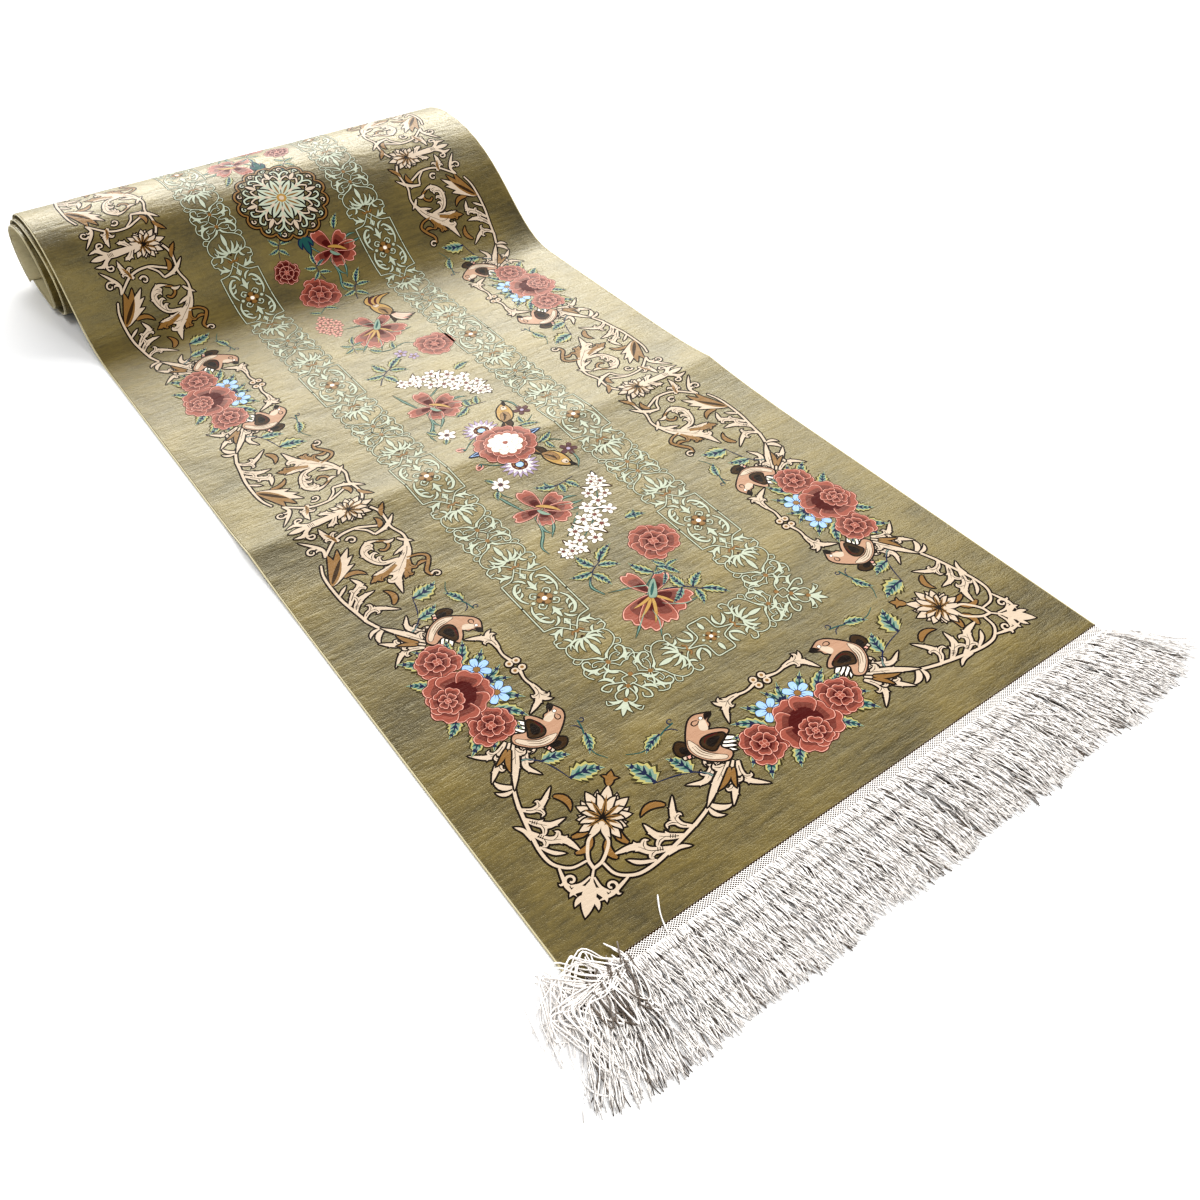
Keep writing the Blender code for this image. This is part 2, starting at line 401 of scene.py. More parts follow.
def build_cloth():
    """The woven rug: a fine grid laid along the cloth's path and given its thickness."""
    bpy.ops.mesh.primitive_grid_add(x_subdivisions=COLUMNS, y_subdivisions=len(ROWS) - 1, size=2.0)
    made = bpy.context.object
    made.name = "silk_rug"
    mesh = made.data
    co = np.zeros(len(mesh.vertices) * 3, np.float32)
    mesh.vertices.foreach_get("co", co)
    co = co.reshape(-1, 3)
    column = np.rint((co[:, 0] + 1) / 2 * COLUMNS).astype(int)
    row = np.rint((co[:, 1] + 1) / 2 * (len(ROWS) - 1)).astype(int)
    margin = CORD + GAP
    u = margin + (RUG_WIDTH - 2 * margin) * column / COLUMNS
    flat = np.stack([u, ROWS[row]], axis=1)
    while mesh.uv_layers:
        mesh.uv_layers.remove(mesh.uv_layers[0])
    add_uv(mesh, flat)
    place, _ = cloth.at(flat[:, 0], flat[:, 1])
    mesh.vertices.foreach_set("co", place.astype(np.float32).ravel())
    mesh.update()
    thick = made.modifiers.new("cloth", "SOLIDIFY")
    thick.thickness = CLOTH
    thick.offset = -1.0
    thick.material_offset = 1
    thick.material_offset_rim = 1
    mesh.materials.append(GROUND)
    mesh.materials.append(BACK)
    bpy.ops.object.modifier_apply(modifier="cloth")
    bpy.ops.object.shade_smooth_by_angle(angle=math.radians(CORNER_ANGLE))
    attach(made, "root")
    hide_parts("rug")
    deselect()
    return made


rug = build_cloth()

# ---------------------------------------------------------------- drawing on the flat rug

DYES = {
    "cream": "beac98", "shell": "a68068", "walnut": "0f0506", "umber": "35220f",
    "ochre": "7c5829", "gold": "a5803f", "maroon": "47080c", "madder": "64231e",
    "coral": "8a4236", "blush": "cf9788", "sky": "93b3da", "navy": "141f3f",
    "teal": "1f4f4c", "mist": "708879", "lime": "a59d62", "mint": "acb3a0",
    "pine": "37301a", "plum": "54383a", "lilac": "9a8ba6", "white": "e9e0d4",
}
DYE_ORDER = list(DYES)
RIM = 2.2  # width of the dark line round a motif, in millimetres
FILL = 0.5  # the level of a plain shape over its drawing's own
SLACK = 0.07  # how far a curve's chords may stray from it, in millimetres
FLAT_MM = 1000.0
MEET_MM = 1e-4  # points of the flat drawing nearer than this are one
SLIVER_MM2 = 2e-4  # triangles of the flat drawing with less doubled area than this stay bare
SLIVER_M2 = 1e-11  # and those on the rug with less than this are left out
TOUCHING = 1e-7  # a triangle that passes a row by less than this isn't cut by it, in metres
WELD_STEPS = 2e6  # steps to a metre that a corner on the rug is rounded to, to weld it


def smooth(points, fine, closed=False):
    """A smooth line through points, in `fine` steps from each one to the next."""
    p = np.array(points, float)
    if closed:
        p = np.vstack([p[-1], p, p[0], p[1]])
    else:
        p = np.vstack([2 * p[0] - p[1], p, 2 * p[-1] - p[-2]])
    t = np.linspace(0, 1, fine, endpoint=False)[:, None]
    runs = [0.5 * (2 * b + (c - a) * t + (2 * a - 5 * b + 4 * c - d) * t**2
                   + (3 * b - a - 3 * c + d) * t**3)
            for a, b, c, d in zip(p, p[1:], p[2:], p[3:])]
    return np.vstack(runs if closed else runs + [p[-2:-1]])


def thinned(outline):
    """Leaves out points that lie almost on the line between their neighbours."""
    for _ in range(3):
        if len(outline) < 8:
            break
        before, after = np.roll(outline, 1, 0), np.roll(outline, -1, 0)
        run = after - before
        length = np.maximum(np.hypot(run[:, 0], run[:, 1]), 1e-6)
        away = outline - before
        stray = np.abs(run[:, 0] * away[:, 1] - run[:, 1] * away[:, 0]) / length
        drop = stray < SLACK
        drop[1::2] = False
        outline = outline[~drop]
        outline = np.roll(outline, 1, 0)
    return outline


def sideways(line):
    """Unit steps along a line at each of its points, and unit steps to its left."""
    d = np.gradient(line, axis=0)
    d /= np.maximum(np.hypot(d[:, 0], d[:, 1]), 1e-9)[:, None]
    return d, np.stack([-d[:, 1], d[:, 0]], axis=1)


def turned(x, y, degrees):
    """The point (x, y) turned about the origin, anticlockwise."""
    c, s = math.cos(math.radians(degrees)), math.sin(math.radians(degrees))
    return x * c - y * s, x * s + y * c


# A pointed drop: shares of the way to its tip, and of its width at each but the root.
TEAR_SHARES = (0.0, 0.12, 0.28, 0.45, 0.62, 0.78, 0.9, 1.0)
TEAR_WIDTHS = (0.7, 0.95, 1.0, 0.88, 0.62, 0.33, 0.03)


class Drawing:
    """Dyed shapes on the flat rug, in millimetres. Higher levels lie over lower ones."""

    def __init__(self):
        self.shapes = []
        self.level = 0.0
        self.join = FILL  # how far a rim lies under its own fill; at 0 each shape covers the last
        self.place = np.eye(3)

    def moved(self, x, y, turn=0.0, size=1.0, flip=False):
        """A copy of this drawing's pen, set at (x, y): what it draws lands here too."""
        pen = Drawing()
        pen.shapes = self.shapes
        pen.level = self.level
        pen.join = self.join
        c, s = math.cos(math.radians(turn)) * size, math.sin(math.radians(turn)) * size
        hand = -1.0 if flip else 1.0
        pen.place = self.place @ np.array([[c * hand, -s, x], [s * hand, c, y], [0, 0, 1]])
        return pen

    def fill(self, outline, dye, over=FILL):
        """A closed shape of one dye, `over` the pen's own level."""
        outline = np.asarray(outline, float) @ self.place[:2, :2].T + self.place[:2, 2]
        self.shapes.append((self.level + over, dye, thinned(outline)))

    def band(self, line, half, dye, rim="walnut", over=FILL, edge=RIM):
        """A stroke along a line, half as wide as told at each of its points."""
        ahead, side = sideways(line)
        for extra, colour, lift in ((edge, rim, over - self.join), (0.0, dye, over)):
            if colour is None:
                continue
            reach = (half + extra)[:, None]
            ends = line[-1] + ahead[-1] * extra * 1.5, line[0] - ahead[0] * extra
            outline = np.vstack([line + side * reach, ends[:1], (line - side * reach)[::-1], ends[1:]])
            self.fill(outline, colour, lift)

    def stroke(self, points, widths, dye="cream", rim="walnut", over=FILL, edge=RIM, fine=5):
        """A smooth line through points, its widths spread evenly along it."""
        line = smooth(points, fine=fine)
        half = np.interp(np.linspace(0, 1, len(line)), np.linspace(0, 1, len(widths)), widths) / 2
        self.band(line, half, dye, rim, over, edge)

    def tear(self, x0, y0, x1, y1, width, bend=0.0, dye="cream", rim="walnut", over=FILL,
             edge=RIM, root=0.35):
        """A pointed drop from a root to a tip, bent to its left by a share of its length."""
        t = np.array(TEAR_SHARES)[:, None]
        a, b = np.array([x0, y0]), np.array([x1, y1])
        knee = (a + b) / 2 + 2 * bend * np.array([a[1] - b[1], b[0] - a[0]])
        line = (1 - t) ** 2 * a + 2 * t * (1 - t) * knee + t**2 * b
        half = width / 2 * np.array([root, *TEAR_WIDTHS])
        self.band(line, half, dye, rim, over, edge)

    def blob(self, points, dye, rim="walnut", edge=RIM, fine=4):
        """A closed smooth shape, drawn anticlockwise, with its rim outside it."""
        line = smooth(points, closed=True, fine=fine)
        if rim:
            wrapped = np.vstack([line[-1:], line, line[:1]])
            _, side = sideways(wrapped)
            self.fill(line - side[1:-1] * edge, rim, FILL - self.join)
        self.fill(line, dye)

    def dot(self, x, y, radius, dye, rim="walnut", over=FILL, edge=RIM, sides=10):
        """A small round, with its rim outside it."""
        turn = np.linspace(0, 2 * math.pi, sides, endpoint=False)
        ring = np.stack([np.cos(turn), np.sin(turn)], axis=1)
        if rim:
            self.fill(ring * (radius + edge) + (x, y), rim, over - self.join)
        self.fill(ring * radius + (x, y), dye, over)

    def curl(self, x, y, radius, start, sweep, widths, dye="cream", rim="walnut", close=0.75):
        """A spiral about (x, y) from angle `start`, winding in; a negative sweep goes clockwise."""
        count = max(5, int(abs(sweep) / 40))
        share = np.linspace(0, 1, count)
        turn = np.radians(start + sweep * share)
        reach = radius * (1 - close * share)
        points = np.stack([x + reach * np.cos(turn), y + reach * np.sin(turn)], axis=1)
        self.stroke(points, widths, dye, rim, fine=3)


def both_hands(pen):
    """Two pens at this pen's place: one as it is, and one mirrored across x = 0."""
    return pen.moved(0, 0), pen.moved(0, 0, flip=True)


def winding(points, outline):
    """How many times an outline goes round each point."""
    a, b = outline, np.roll(outline, -1, 0)
    x, y = points[:, :1], points[:, 1:]
    left = (b[:, 0] - a[:, 0]) * (y - a[:, 1]) - (x - a[:, 0]) * (b[:, 1] - a[:, 1])
    up = (a[:, 1] <= y) & (b[:, 1] > y) & (left > 0)
    down = (a[:, 1] > y) & (b[:, 1] <= y) & (left < 0)
    return up.sum(1) - down.sum(1)


def doubled_areas(corners):
    """Twice the area of each triangle, below nothing where its corners run clockwise."""
    one, two = corners[:, 1] - corners[:, 0], corners[:, 2] - corners[:, 0]
    return one[:, 0] * two[:, 1] - one[:, 1] * two[:, 0]


def dyed_triangles(shapes, points, edges):
    """Splits the plane along the edges and dyes each triangle with the highest shape over it."""
    found = delaunay_2d_cdt(points, edges, [], 0, MEET_MM)
    flat = np.array([tuple(p) for p in found[0]])
    faces = np.array([tuple(f) for f in found[2]])
    middles = flat[faces].mean(axis=1)
    dyes = np.full(len(faces), -1)
    for _, dye, outline in shapes:
        low, high = outline.min(0), outline.max(0)
        near = np.nonzero(((middles > low) & (middles < high)).all(axis=1))[0]
        if len(near):
            inside = winding(middles[near], outline) != 0
            dyes[near[inside]] = DYE_ORDER.index(dye)
    dyes[np.abs(doubled_areas(flat[faces])) < SLIVER_MM2] = -1
    return flat, faces, dyes


def flattened(drawing):
    """The drawing as triangles that don't overlap: (points, triangles, dye of each)."""
    shapes = sorted(drawing.shapes, key=lambda shape: shape[0])
    points, edges = [], []
    for _, _, outline in shapes:
        first, count = len(points), len(outline)
        points += [Vector((float(x), float(y))) for x, y in outline]
        edges += [(first + k, first + (k + 1) % count) for k in range(count)]
    flat, faces, dyes = dyed_triangles(shapes, points, edges)
    # A second pass keeps only the lines where the dye changes.
    sides = np.concatenate([faces[:, (0, 1)], faces[:, (1, 2)], faces[:, (2, 0)]])
    dye = np.tile(dyes, 3)
    keys = np.sort(sides, axis=1)
    order = np.lexsort((keys[:, 1], keys[:, 0]))
    keys, dye = keys[order], dye[order]
    paired = (keys[:-1] == keys[1:]).all(axis=1)
    first = np.nonzero(paired)[0]
    changes = keys[first[dye[first] != dye[first + 1]]]
    used, index = np.unique(changes, return_inverse=True)
    kept = [Vector((float(x), float(y))) for x, y in flat[used]]
    flat, faces, dyes = dyed_triangles(shapes, kept, index.reshape(-1, 2).tolist())
    return flat, faces[dyes >= 0], dyes[dyes >= 0]


UPRIGHT = ((1, 0), (0, 1))
UPSIDE_DOWN = ((1, 0), (0, -1))
MIRRORED = ((-1, 0), (0, 1))
TURNED_ROUND = ((-1, 0), (0, -1))


def placed(part, origin=(0, 0), along=UPRIGHT):
    """Triangles of a flattened drawing set on the rug: drawing x runs along `along[0]`, drawing
    y along `along[1]`, from `origin`, all in the flat rug's millimetres."""
    flat, faces, dyes = part
    corners = (flat[faces] @ np.array(along, float) + np.array(origin, float)) / FLAT_MM
    if np.linalg.det(np.array(along, float)) < 0:
        corners = corners[:, ::-1]
    return corners, dyes


def cut_by_rows(corners, dyes):
    """Cuts triangles where they cross the cloth's rows, so that they bend where it bends."""
    for row in ROWS[1:-1]:
        low, high = corners[:, :, 1].min(1), corners[:, :, 1].max(1)
        hit = (low < row - TOUCHING) & (high > row + TOUCHING)
        if not hit.any():
            continue
        t, colour = corners[hit], dyes[hit]
        above = t[:, :, 1] > row
        lone = np.where(above.sum(1) == 1, above.argmax(1), (~above).argmax(1))
        order = (lone[:, None] + np.arange(3)) % 3
        t = np.take_along_axis(t, order[:, :, None], axis=1)
        a, b, c = t[:, 0], t[:, 1], t[:, 2]
        ab = a + (b - a) * ((row - a[:, 1]) / (b[:, 1] - a[:, 1] + 1e-15))[:, None]
        ac = a + (c - a) * ((row - a[:, 1]) / (c[:, 1] - a[:, 1] + 1e-15))[:, None]
        new = np.concatenate([np.stack(s, axis=1) for s in ((a, ab, ac), (ab, b, c), (ab, c, ac))])
        corners = np.concatenate([corners[~hit], new])
        dyes = np.concatenate([dyes[~hit], np.tile(colour, 3)])
    keep = doubled_areas(corners) > SLIVER_M2
    return corners[keep], dyes[keep]


DARK_DYES = ("walnut", "umber", "maroon", "navy", "teal", "pine", "plum")
DARK_GLOSS = (0.0, 0.08)  # sheen and shine
PALE_GLOSS = (0.03, 0.25)
DYED = {name: silk(name + " silk", code, *(DARK_GLOSS if name in DARK_DYES else PALE_GLOSS))
        for name, code in DYES.items()}
SHOWN_LENGTH = 2.30  # beyond this the pattern lies hidden between the roll's turns
# How far over the pile the pattern's layers lie, in metres. They differ where they overlap.
LOW_LAYER = 0.00015
MIDDLE_LAYER = 0.00030
TOP_LAYER = 0.00045


def lay_on_rug(name, parts, lift):
    """Makes one piece of pattern from placed parts, `lift` metres over the pile."""
    corners = np.concatenate([p[0] for p in parts])
    dyes = np.concatenate([p[1] for p in parts])
    shown = corners[:, :, 1].max(1) < SHOWN_LENGTH
    corners, dyes = cut_by_rows(corners[shown], dyes[shown])
    key = np.rint(corners.reshape(-1, 2) * WELD_STEPS).astype(np.int64)
    _, first, index = np.unique(key[:, 0] * 10**8 + key[:, 1], return_index=True, return_inverse=True)
    flat = corners.reshape(-1, 2)[first]
    faces = index.reshape(-1, 3)
    whole = (faces[:, 0] != faces[:, 1]) & (faces[:, 1] != faces[:, 2]) & (faces[:, 0] != faces[:, 2])
    faces, dyes = faces[whole], dyes[whole]
    place, normals = cloth.at(flat[:, 0], flat[:, 1], lift)
    mesh = bpy.data.meshes.new(name)
    mesh.from_pydata(place.tolist(), [], faces.tolist())
    used = np.unique(dyes)
    for k in used:
        mesh.materials.append(DYED[DYE_ORDER[k]])
    mesh.polygons.foreach_set("material_index", np.searchsorted(used, dyes).astype(np.int32))
    add_uv(mesh, flat)
    mesh.shade_smooth()
    mesh.normals_split_custom_set_from_vertices(normals.tolist())
    made = bpy.data.objects.new(name, mesh)
    bpy.context.scene.collection.objects.link(made)
    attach(made, "root")


# ---------------------------------------------------------------- motifs

FLAME_TEETH = ((0.32, 1), (0.5, -1), (0.64, 1), (0.78, -1))  # share along, side
NARROW_FLAME = 6  # narrower ones have no teeth and no rib


def flame(pen, points, width, lobes=(), dye="cream", root=0.5):
    """A leaf along a bent rib to a point, with hooked lobes: (share along, side, length)."""
    line = smooth(points, fine=5)
    share = np.linspace(0, 1, len(line))
    half = width * 0.54 * np.interp(share, (0, 0.3, 0.6, 0.85, 1), (root, 0.85, 0.95, 0.55, 0.03))
    pen.band(line, half, dye)
    ahead, side = sideways(line)
    if width >= NARROW_FLAME:
        for at, hand in FLAME_TEETH:
            k = int(at * (len(line) - 1))
            base = line[k] - ahead[k] * width * 0.3
            tip = line[k] + (ahead[k] + side[k] * hand * 0.85) * width * (1.3 - at)
            pen.tear(*base, *tip, width * 0.55, -hand * 0.16, dye)
    if dye == "cream" and width > NARROW_FLAME:
        rib = line[len(line) // 6:len(line) * 2 // 3]
        pen.band(rib, np.linspace(0.55, 0.2, len(rib)), "walnut", None, 0.65)
    for at, hand, length in lobes:
        k = int(at * (len(line) - 1))
        a, b = ahead[k] * length, side[k] * hand * length
        hook = [line[k] - a * 0.1, line[k] + a * 0.32 + b * 0.34, line[k] + a * 0.42 + b * 0.8,
                line[k] + a * 0.1 + b]
        pen.stroke(hook, [width * 0.6, width * 0.72, width * 0.5, 0.3], dye, fine=4)
        if width > NARROW_FLAME:
            pen.stroke(hook[:3], [0.4, 1.0, 0.4], "walnut", None, 0.65, fine=2)


NOTCH_GAP = 2.4


def notches(pen, x, y, angle, length, count=3):
    """Short dark lines across a thick stem, like an engraver's shading."""
    wide, high = 0.45, length / 2
    for k in range(count):
        line = pen.moved(*np.add((x, y), turned(NOTCH_GAP * k, 0, angle)), turn=angle)
        line.fill([(-wide, -high), (wide, -high), (wide, high), (-wide, high)], "walnut", 0.7)


LEAF_TEETH = 5
LEAF_BEND = 0.08
LEAF_LAYERS = ((1.26, "pine", 0.3), (1.0, "lime", 0.4), (0.68, "mist", 0.5))  # width, dye, level


def garden_leaf(pen, x0, y0, x1, y1, width):
    """A toothed leaf: yellow-green edge, pale body, and a dark rib with side veins."""
    a, b = np.array([x0, y0], float), np.array([x1, y1], float)
    knee = (a + b) / 2 + 2 * LEAF_BEND * np.array([a[1] - b[1], b[0] - a[0]])
    t, half = [0.0], [0.04]
    for k in range(LEAF_TEETH):
        start, step = k / LEAF_TEETH, 1 / LEAF_TEETH
        for past, wide in ((0.1, 0.82), (0.96, 1.16)):
            t.append(min(start + past * step, 0.985))
            half.append(wide * math.sin(math.pi * min(t[-1], 0.97) ** 0.75) ** 0.8)
    t.append(1.06)
    half.append(0.0)
    t, half = np.array(t)[:, None], np.array(half) * width / 2
    line = (1 - t) ** 2 * a + 2 * t * (1 - t) * knee + t**2 * b
    ahead, side = sideways(line)
    for share, dye, over in LEAF_LAYERS:
        reach = (half * share)[:, None]
        pen.fill(np.vstack([line + side * reach, (line - side * reach)[::-1]]), dye, over)
    length = math.dist(a, b)
    rib = line[:-1]
    pen.band(rib, np.linspace(0.075, 0.02, len(rib)) * length * 0.55, "navy", None, 0.6)
    for k in range(1, len(line) - 2, 2):
        for hand in (1, -1):
            dx, dy = turned(*ahead[k], hand * 42)
            tip = line[k] + np.array([dx, dy]) * (half[k] + 1.0)
            across = np.array([-dy, dx]) * length * 0.062
            vein = "navy" if k % 4 == 1 else "teal"
            pen.fill([line[k] - across, line[k] + across, tip], vein, 0.55)


# A ruffled petal: shares of its reach and of its width.
PETAL = np.array([
    (0.00, -0.13), (0.34, -0.40), (0.72, -0.52), (0.98, -0.30), (0.92, -0.04),
    (1.02, 0.20), (0.86, 0.46), (0.50, 0.48), (0.16, 0.28), (0.00, 0.13),
])


def petal(pen, angle, start, reach, width, dye="madder", glow="coral", veins=3):
    """A rounded petal that opens from the middle of a flower."""
    leaf = pen.moved(*turned(start, 0, angle), turn=angle)
    leaf.join = 0.0
    outline = PETAL * (reach, width)
    leaf.blob(outline, "blush", "maroon", edge=0.95, fine=3)
    middle = np.array([reach * 0.42, 0.0])
    trim = 1 - 1.7 / max(width, 6.0)
    leaf.blob((outline - middle) * trim + middle, glow, None, fine=2)
    leaf.blob(outline[::2] * 0.76, dye, None, fine=3)
    leaf.blob(outline[::2] * (0.48, 0.5), "maroon", None, fine=2)
    for k in range(veins):
        share = (k + 0.5) / veins - 0.5
        tip = np.array([reach * (0.78 - 0.3 * abs(share)), share * width * 0.85])
        foot = share * width * 0.2
        leaf.fill([(0.0, foot - 0.6), tip, (0.0, foot + 0.6)], "maroon")


def rose(pen, x, y, radius, turn, petals=7, **dyes):
    """A garden rose: two rings of petals about a dark heart with a small bud in it."""
    flower = pen.moved(x, y, turn)
    for k in range(petals):
        ruffle = 0.09 * math.sin(2.6 * k + x + y)
        petal(flower, 360 * (k + ruffle) / petals, radius * 0.30, radius * (0.72 + ruffle),
              radius * 0.90, **dyes)
    inner = max(petals - 2, 4)
    for k in range(inner):
        petal(flower, 360 * (k + 0.5) / inner, radius * 0.10, radius * 0.50, radius * 0.58,
              veins=2, **dyes)
    flower.join = 0.0
    flower.dot(0, 0, radius * 0.22, "maroon", None)
    for k in range(4):
        dx, dy = turned(radius * 0.12, 0, 90 * k + 30)
        flower.dot(dx, dy, radius * 0.10, "coral", "blush", edge=0.5, sides=7)


def open_rose(pen, x, y, radius, turn):
    """The big rose of a bouquet: open round a dark heart, with a full bud at one side."""
    flower = pen.moved(x, y, turn)
    for k in range(8):
        ruffle = 0.08 * math.sin(2.6 * k + 1.0)
        petal(flower, 45 * (k + ruffle) + 12, radius * 0.26, radius * (0.78 + ruffle),
              radius * 0.86, veins=4)
    flower.join = 0.0
    heart = flower.moved(radius * 0.22, 0)
    heart.blob([(radius * 0.36 * math.cos(a), radius * 0.48 * math.sin(a))
                for a in np.linspace(0, 2 * math.pi, 9)[:-1]], "maroon", None)
    for k in range(9):
        angle, half = -100 + 25 * k, radius * 0.05
        heart.fill([turned(0, half, angle), turned(0, -half, angle), turned(radius * 0.54, 0, angle)],
                   "maroon")
    rose(flower, -radius * 0.34, 0, radius * 0.52, 20, 6)


def daisy(pen, x, y, radius, turn, petals=6, dye="sky", rim="navy", heart="ochre"):
    """A simple flower of blunt petals round a dot."""
    flower = pen.moved(x, y, turn)
    flower.join = 0.0
    for k in range(petals):
        p = flower.moved(0, 0, 360 * k / petals)
        p.blob([(radius * 0.18, 0), (radius * 0.5, -radius * 0.25), (radius * 0.92, -radius * 0.22),
                (radius, 0), (radius * 0.92, radius * 0.22), (radius * 0.5, radius * 0.25)],
               dye, rim, edge=0.7, fine=2)
        p.fill([(radius * 0.2, -0.5), (radius * 0.62, 0), (radius * 0.2, 0.5)], rim)
    flower.dot(0, 0, radius * 0.24, heart, "umber", edge=0.5, sides=8)


def petal_cluster(pen, angle, length, width):
    """One cream petal of a rayed flower: a long lobe between two short ones."""
    ray = pen.moved(0, 0, angle)
    ray.tear(length * 0.2, 0, length, 0, width, root=0.5)
    for hand in (1, -1):
        ray.tear(length * 0.3, hand * width * 0.2, length * 0.78, hand * width * 0.82, width * 0.62,
                 hand * 0.12)
    ray.fill([(0, -width * 0.26), (length * 0.4, -width * 0.17), (length * 0.72, 0),
              (length * 0.4, width * 0.17), (0, width * 0.26)], "ochre", 0.6)
    ray.fill([(0, -1.2), (length * 0.64, 0), (0, 1.2)], "walnut", 0.65)


# The petals of a palmette, from its middle one outwards: angle, length, width.
PALMETTE = ((90, 42, 13), (52, 37, 12), (128, 37, 12), (18, 31, 11), (162, 31, 11),
            (-14, 27, 10), (194, 27, 10), (-44, 30, 10), (224, 30, 10))


def palmette(pen, size):
    """A fan of cream petals from one root, y upwards, with a veined golden heart."""
    pen = pen.moved(0, 0)
    pen.join = 0.0
    for angle, length, width in PALMETTE:
        petal_cluster(pen, angle, length * size, width * size)
    pen.dot(0, 0, 4.5 * size, "ochre", None, 0.62)
    for angle in range(-45, 226, 30):
        ray = pen.moved(0, 0, angle)
        ray.fill([(0, -0.8), (13 * size, 0), (0, 0.8)], "walnut", 0.66)


def songbird(pen, x, y):
    """A small tan bird, perched, looking over its wing, with barred flight feathers."""
    bird = pen.moved(x, y, flip=True)
    bird.join = 0.0
    bird.blob([(-15, 0), (-16, 10), (-22, 17), (-29, 12), (-31, 3), (-27, -4), (-20, -6)], "umber")
    bird.blob([(-18, 1), (-20, 8), (-25, 9), (-27, 2), (-22, -3)], "walnut", None, fine=3)
    for k in range(3):  # the tail
        bird.tear(-29 + 4.5 * k, -5 - 1.5 * k, 2.5 * k, -35 + 2.5 * k, 4.8, 0.20,
                  "blush" if k == 1 else "cream", root=0.8)
    for k in range(4):
        bird.tear(4 + 4.6 * k, -14 + 2.4 * k, 22 + 3.4 * k, -30 + 4.6 * k, 4.6, 0.0, "white", root=0.9)
    bird.blob([(21, 22), (30, 28), (22, 33), (14, 36), (5, 33), (-5, 23), (-13, 12), (-18, 2),
               (-17, -10), (-9, -24), (6, -35), (16, -29), (11, -16), (22, -8), (31, -3), (24, 5),
               (14, 11), (20, 16)], "shell")
    bird.blob([(-11, 12), (-16, 2), (-15, -10), (-8, -22), (5, -32), (9, -29), (-1, -19), (-7, -8),
               (-8, 3)], "cream", edge=0.7)
    for k in range(3):
        bird.stroke([(-13 + 3.2 * k, 2), (-12 + 3.4 * k, -10), (-4 + 3.6 * k, -22)],
                    [0.4, 0.9, 0.4], "umber", None, 0.6, fine=3)
    # The beak, the cheek, the line round the face and the eye.
    bird.blob([(20, 23), (31, 27.5), (33, 30), (24, 31.5)], "walnut", None, fine=2)
    bird.blob([(13, 11), (8, 15), (10, 22), (16, 27), (20, 24), (18, 17), (16, 12)], "cream",
              edge=0.9, fine=3)
    bird.stroke([(14, 27), (11, 24), (6, 24), (5, 28), (9, 30), (13, 28)], [1.0, 1.6, 1.0],
                "walnut", None, fine=3)
    bird.dot(18, 28.5, 2.0, "white", edge=0.8, sides=8)
    # The folded wing.
    bird.blob([(2, 4), (-3, -1), (-2, -9), (3, -16), (10, -13), (22, -8), (24, -3), (18, 1),
               (10, 4)], "umber")
    bird.blob([(5, 0), (1, -5), (4, -11), (12, -9), (19, -4), (12, 0)], "walnut", None, fine=3)
    bird.stroke([(0, -2), (6, 3), (14, 2), (20, 1)], [0.8, 2.0, 0.8], "maroon", None, 0.6)


def garden_bird(pen, x, y, turn, size):
    """A long golden bird with pale barring, seen from above as it feeds."""
    bird = pen.moved(x, y, turn, size)
    bird.join = 0.0
    for k in range(3):
        bird.tear(-14, 0, -42 + 3 * k, 10 - 8 * k, 8, 0.12, "ochre" if k % 2 else "umber")
    bird.blob([(-18, 3), (-12, -9), (4, -12), (18, -8), (26, -3), (31, 2), (24, 8), (12, 12),
               (-6, 11)], "gold")
    bird.blob([(30, 4), (24, -2), (33, -3), (40, 1)], "walnut", None, fine=2)
    bird.blob([(16, -4), (24, -1), (22, 5), (14, 4)], "cream", edge=0.6, fine=3)
    bird.dot(21, 1, 1.6, "walnut", None, sides=7)
    bird.blob([(-20, 2), (-10, -8), (4, -6), (9, 1), (2, 7), (-10, 7)], "ochre", edge=0.6)
    for k in range(4):
        bird.tear(6 - 4 * k, 3 - k, -5 - 4 * k, -3 + 2 * k, 3.0, 0, "umber", None)


def sprig(pen, stem, leaves, dye="navy"):
    """A thin stem with toothed leaves: (x0, y0, x1, y1, width) each."""
    pen.stroke(stem, [1.8, 1.8, 0.8], dye, None, 0.35)
    for x0, y0, x1, y1, width in leaves:
        garden_leaf(pen, x0, y0, x1, y1, width)


def blade(pen, points, widths=(1.5, 4.5, 0.3), dye="teal"):
    """A grass-like leaf with a pale light along it."""
    pen.stroke(points, widths, dye, "pine", 0.45, 0.5, fine=4)
    pen.stroke(points, [0.4, widths[1] * 0.4, 0.1], "mist", None, 0.55, fine=3)


# ---------------------------------------------------------------- the border


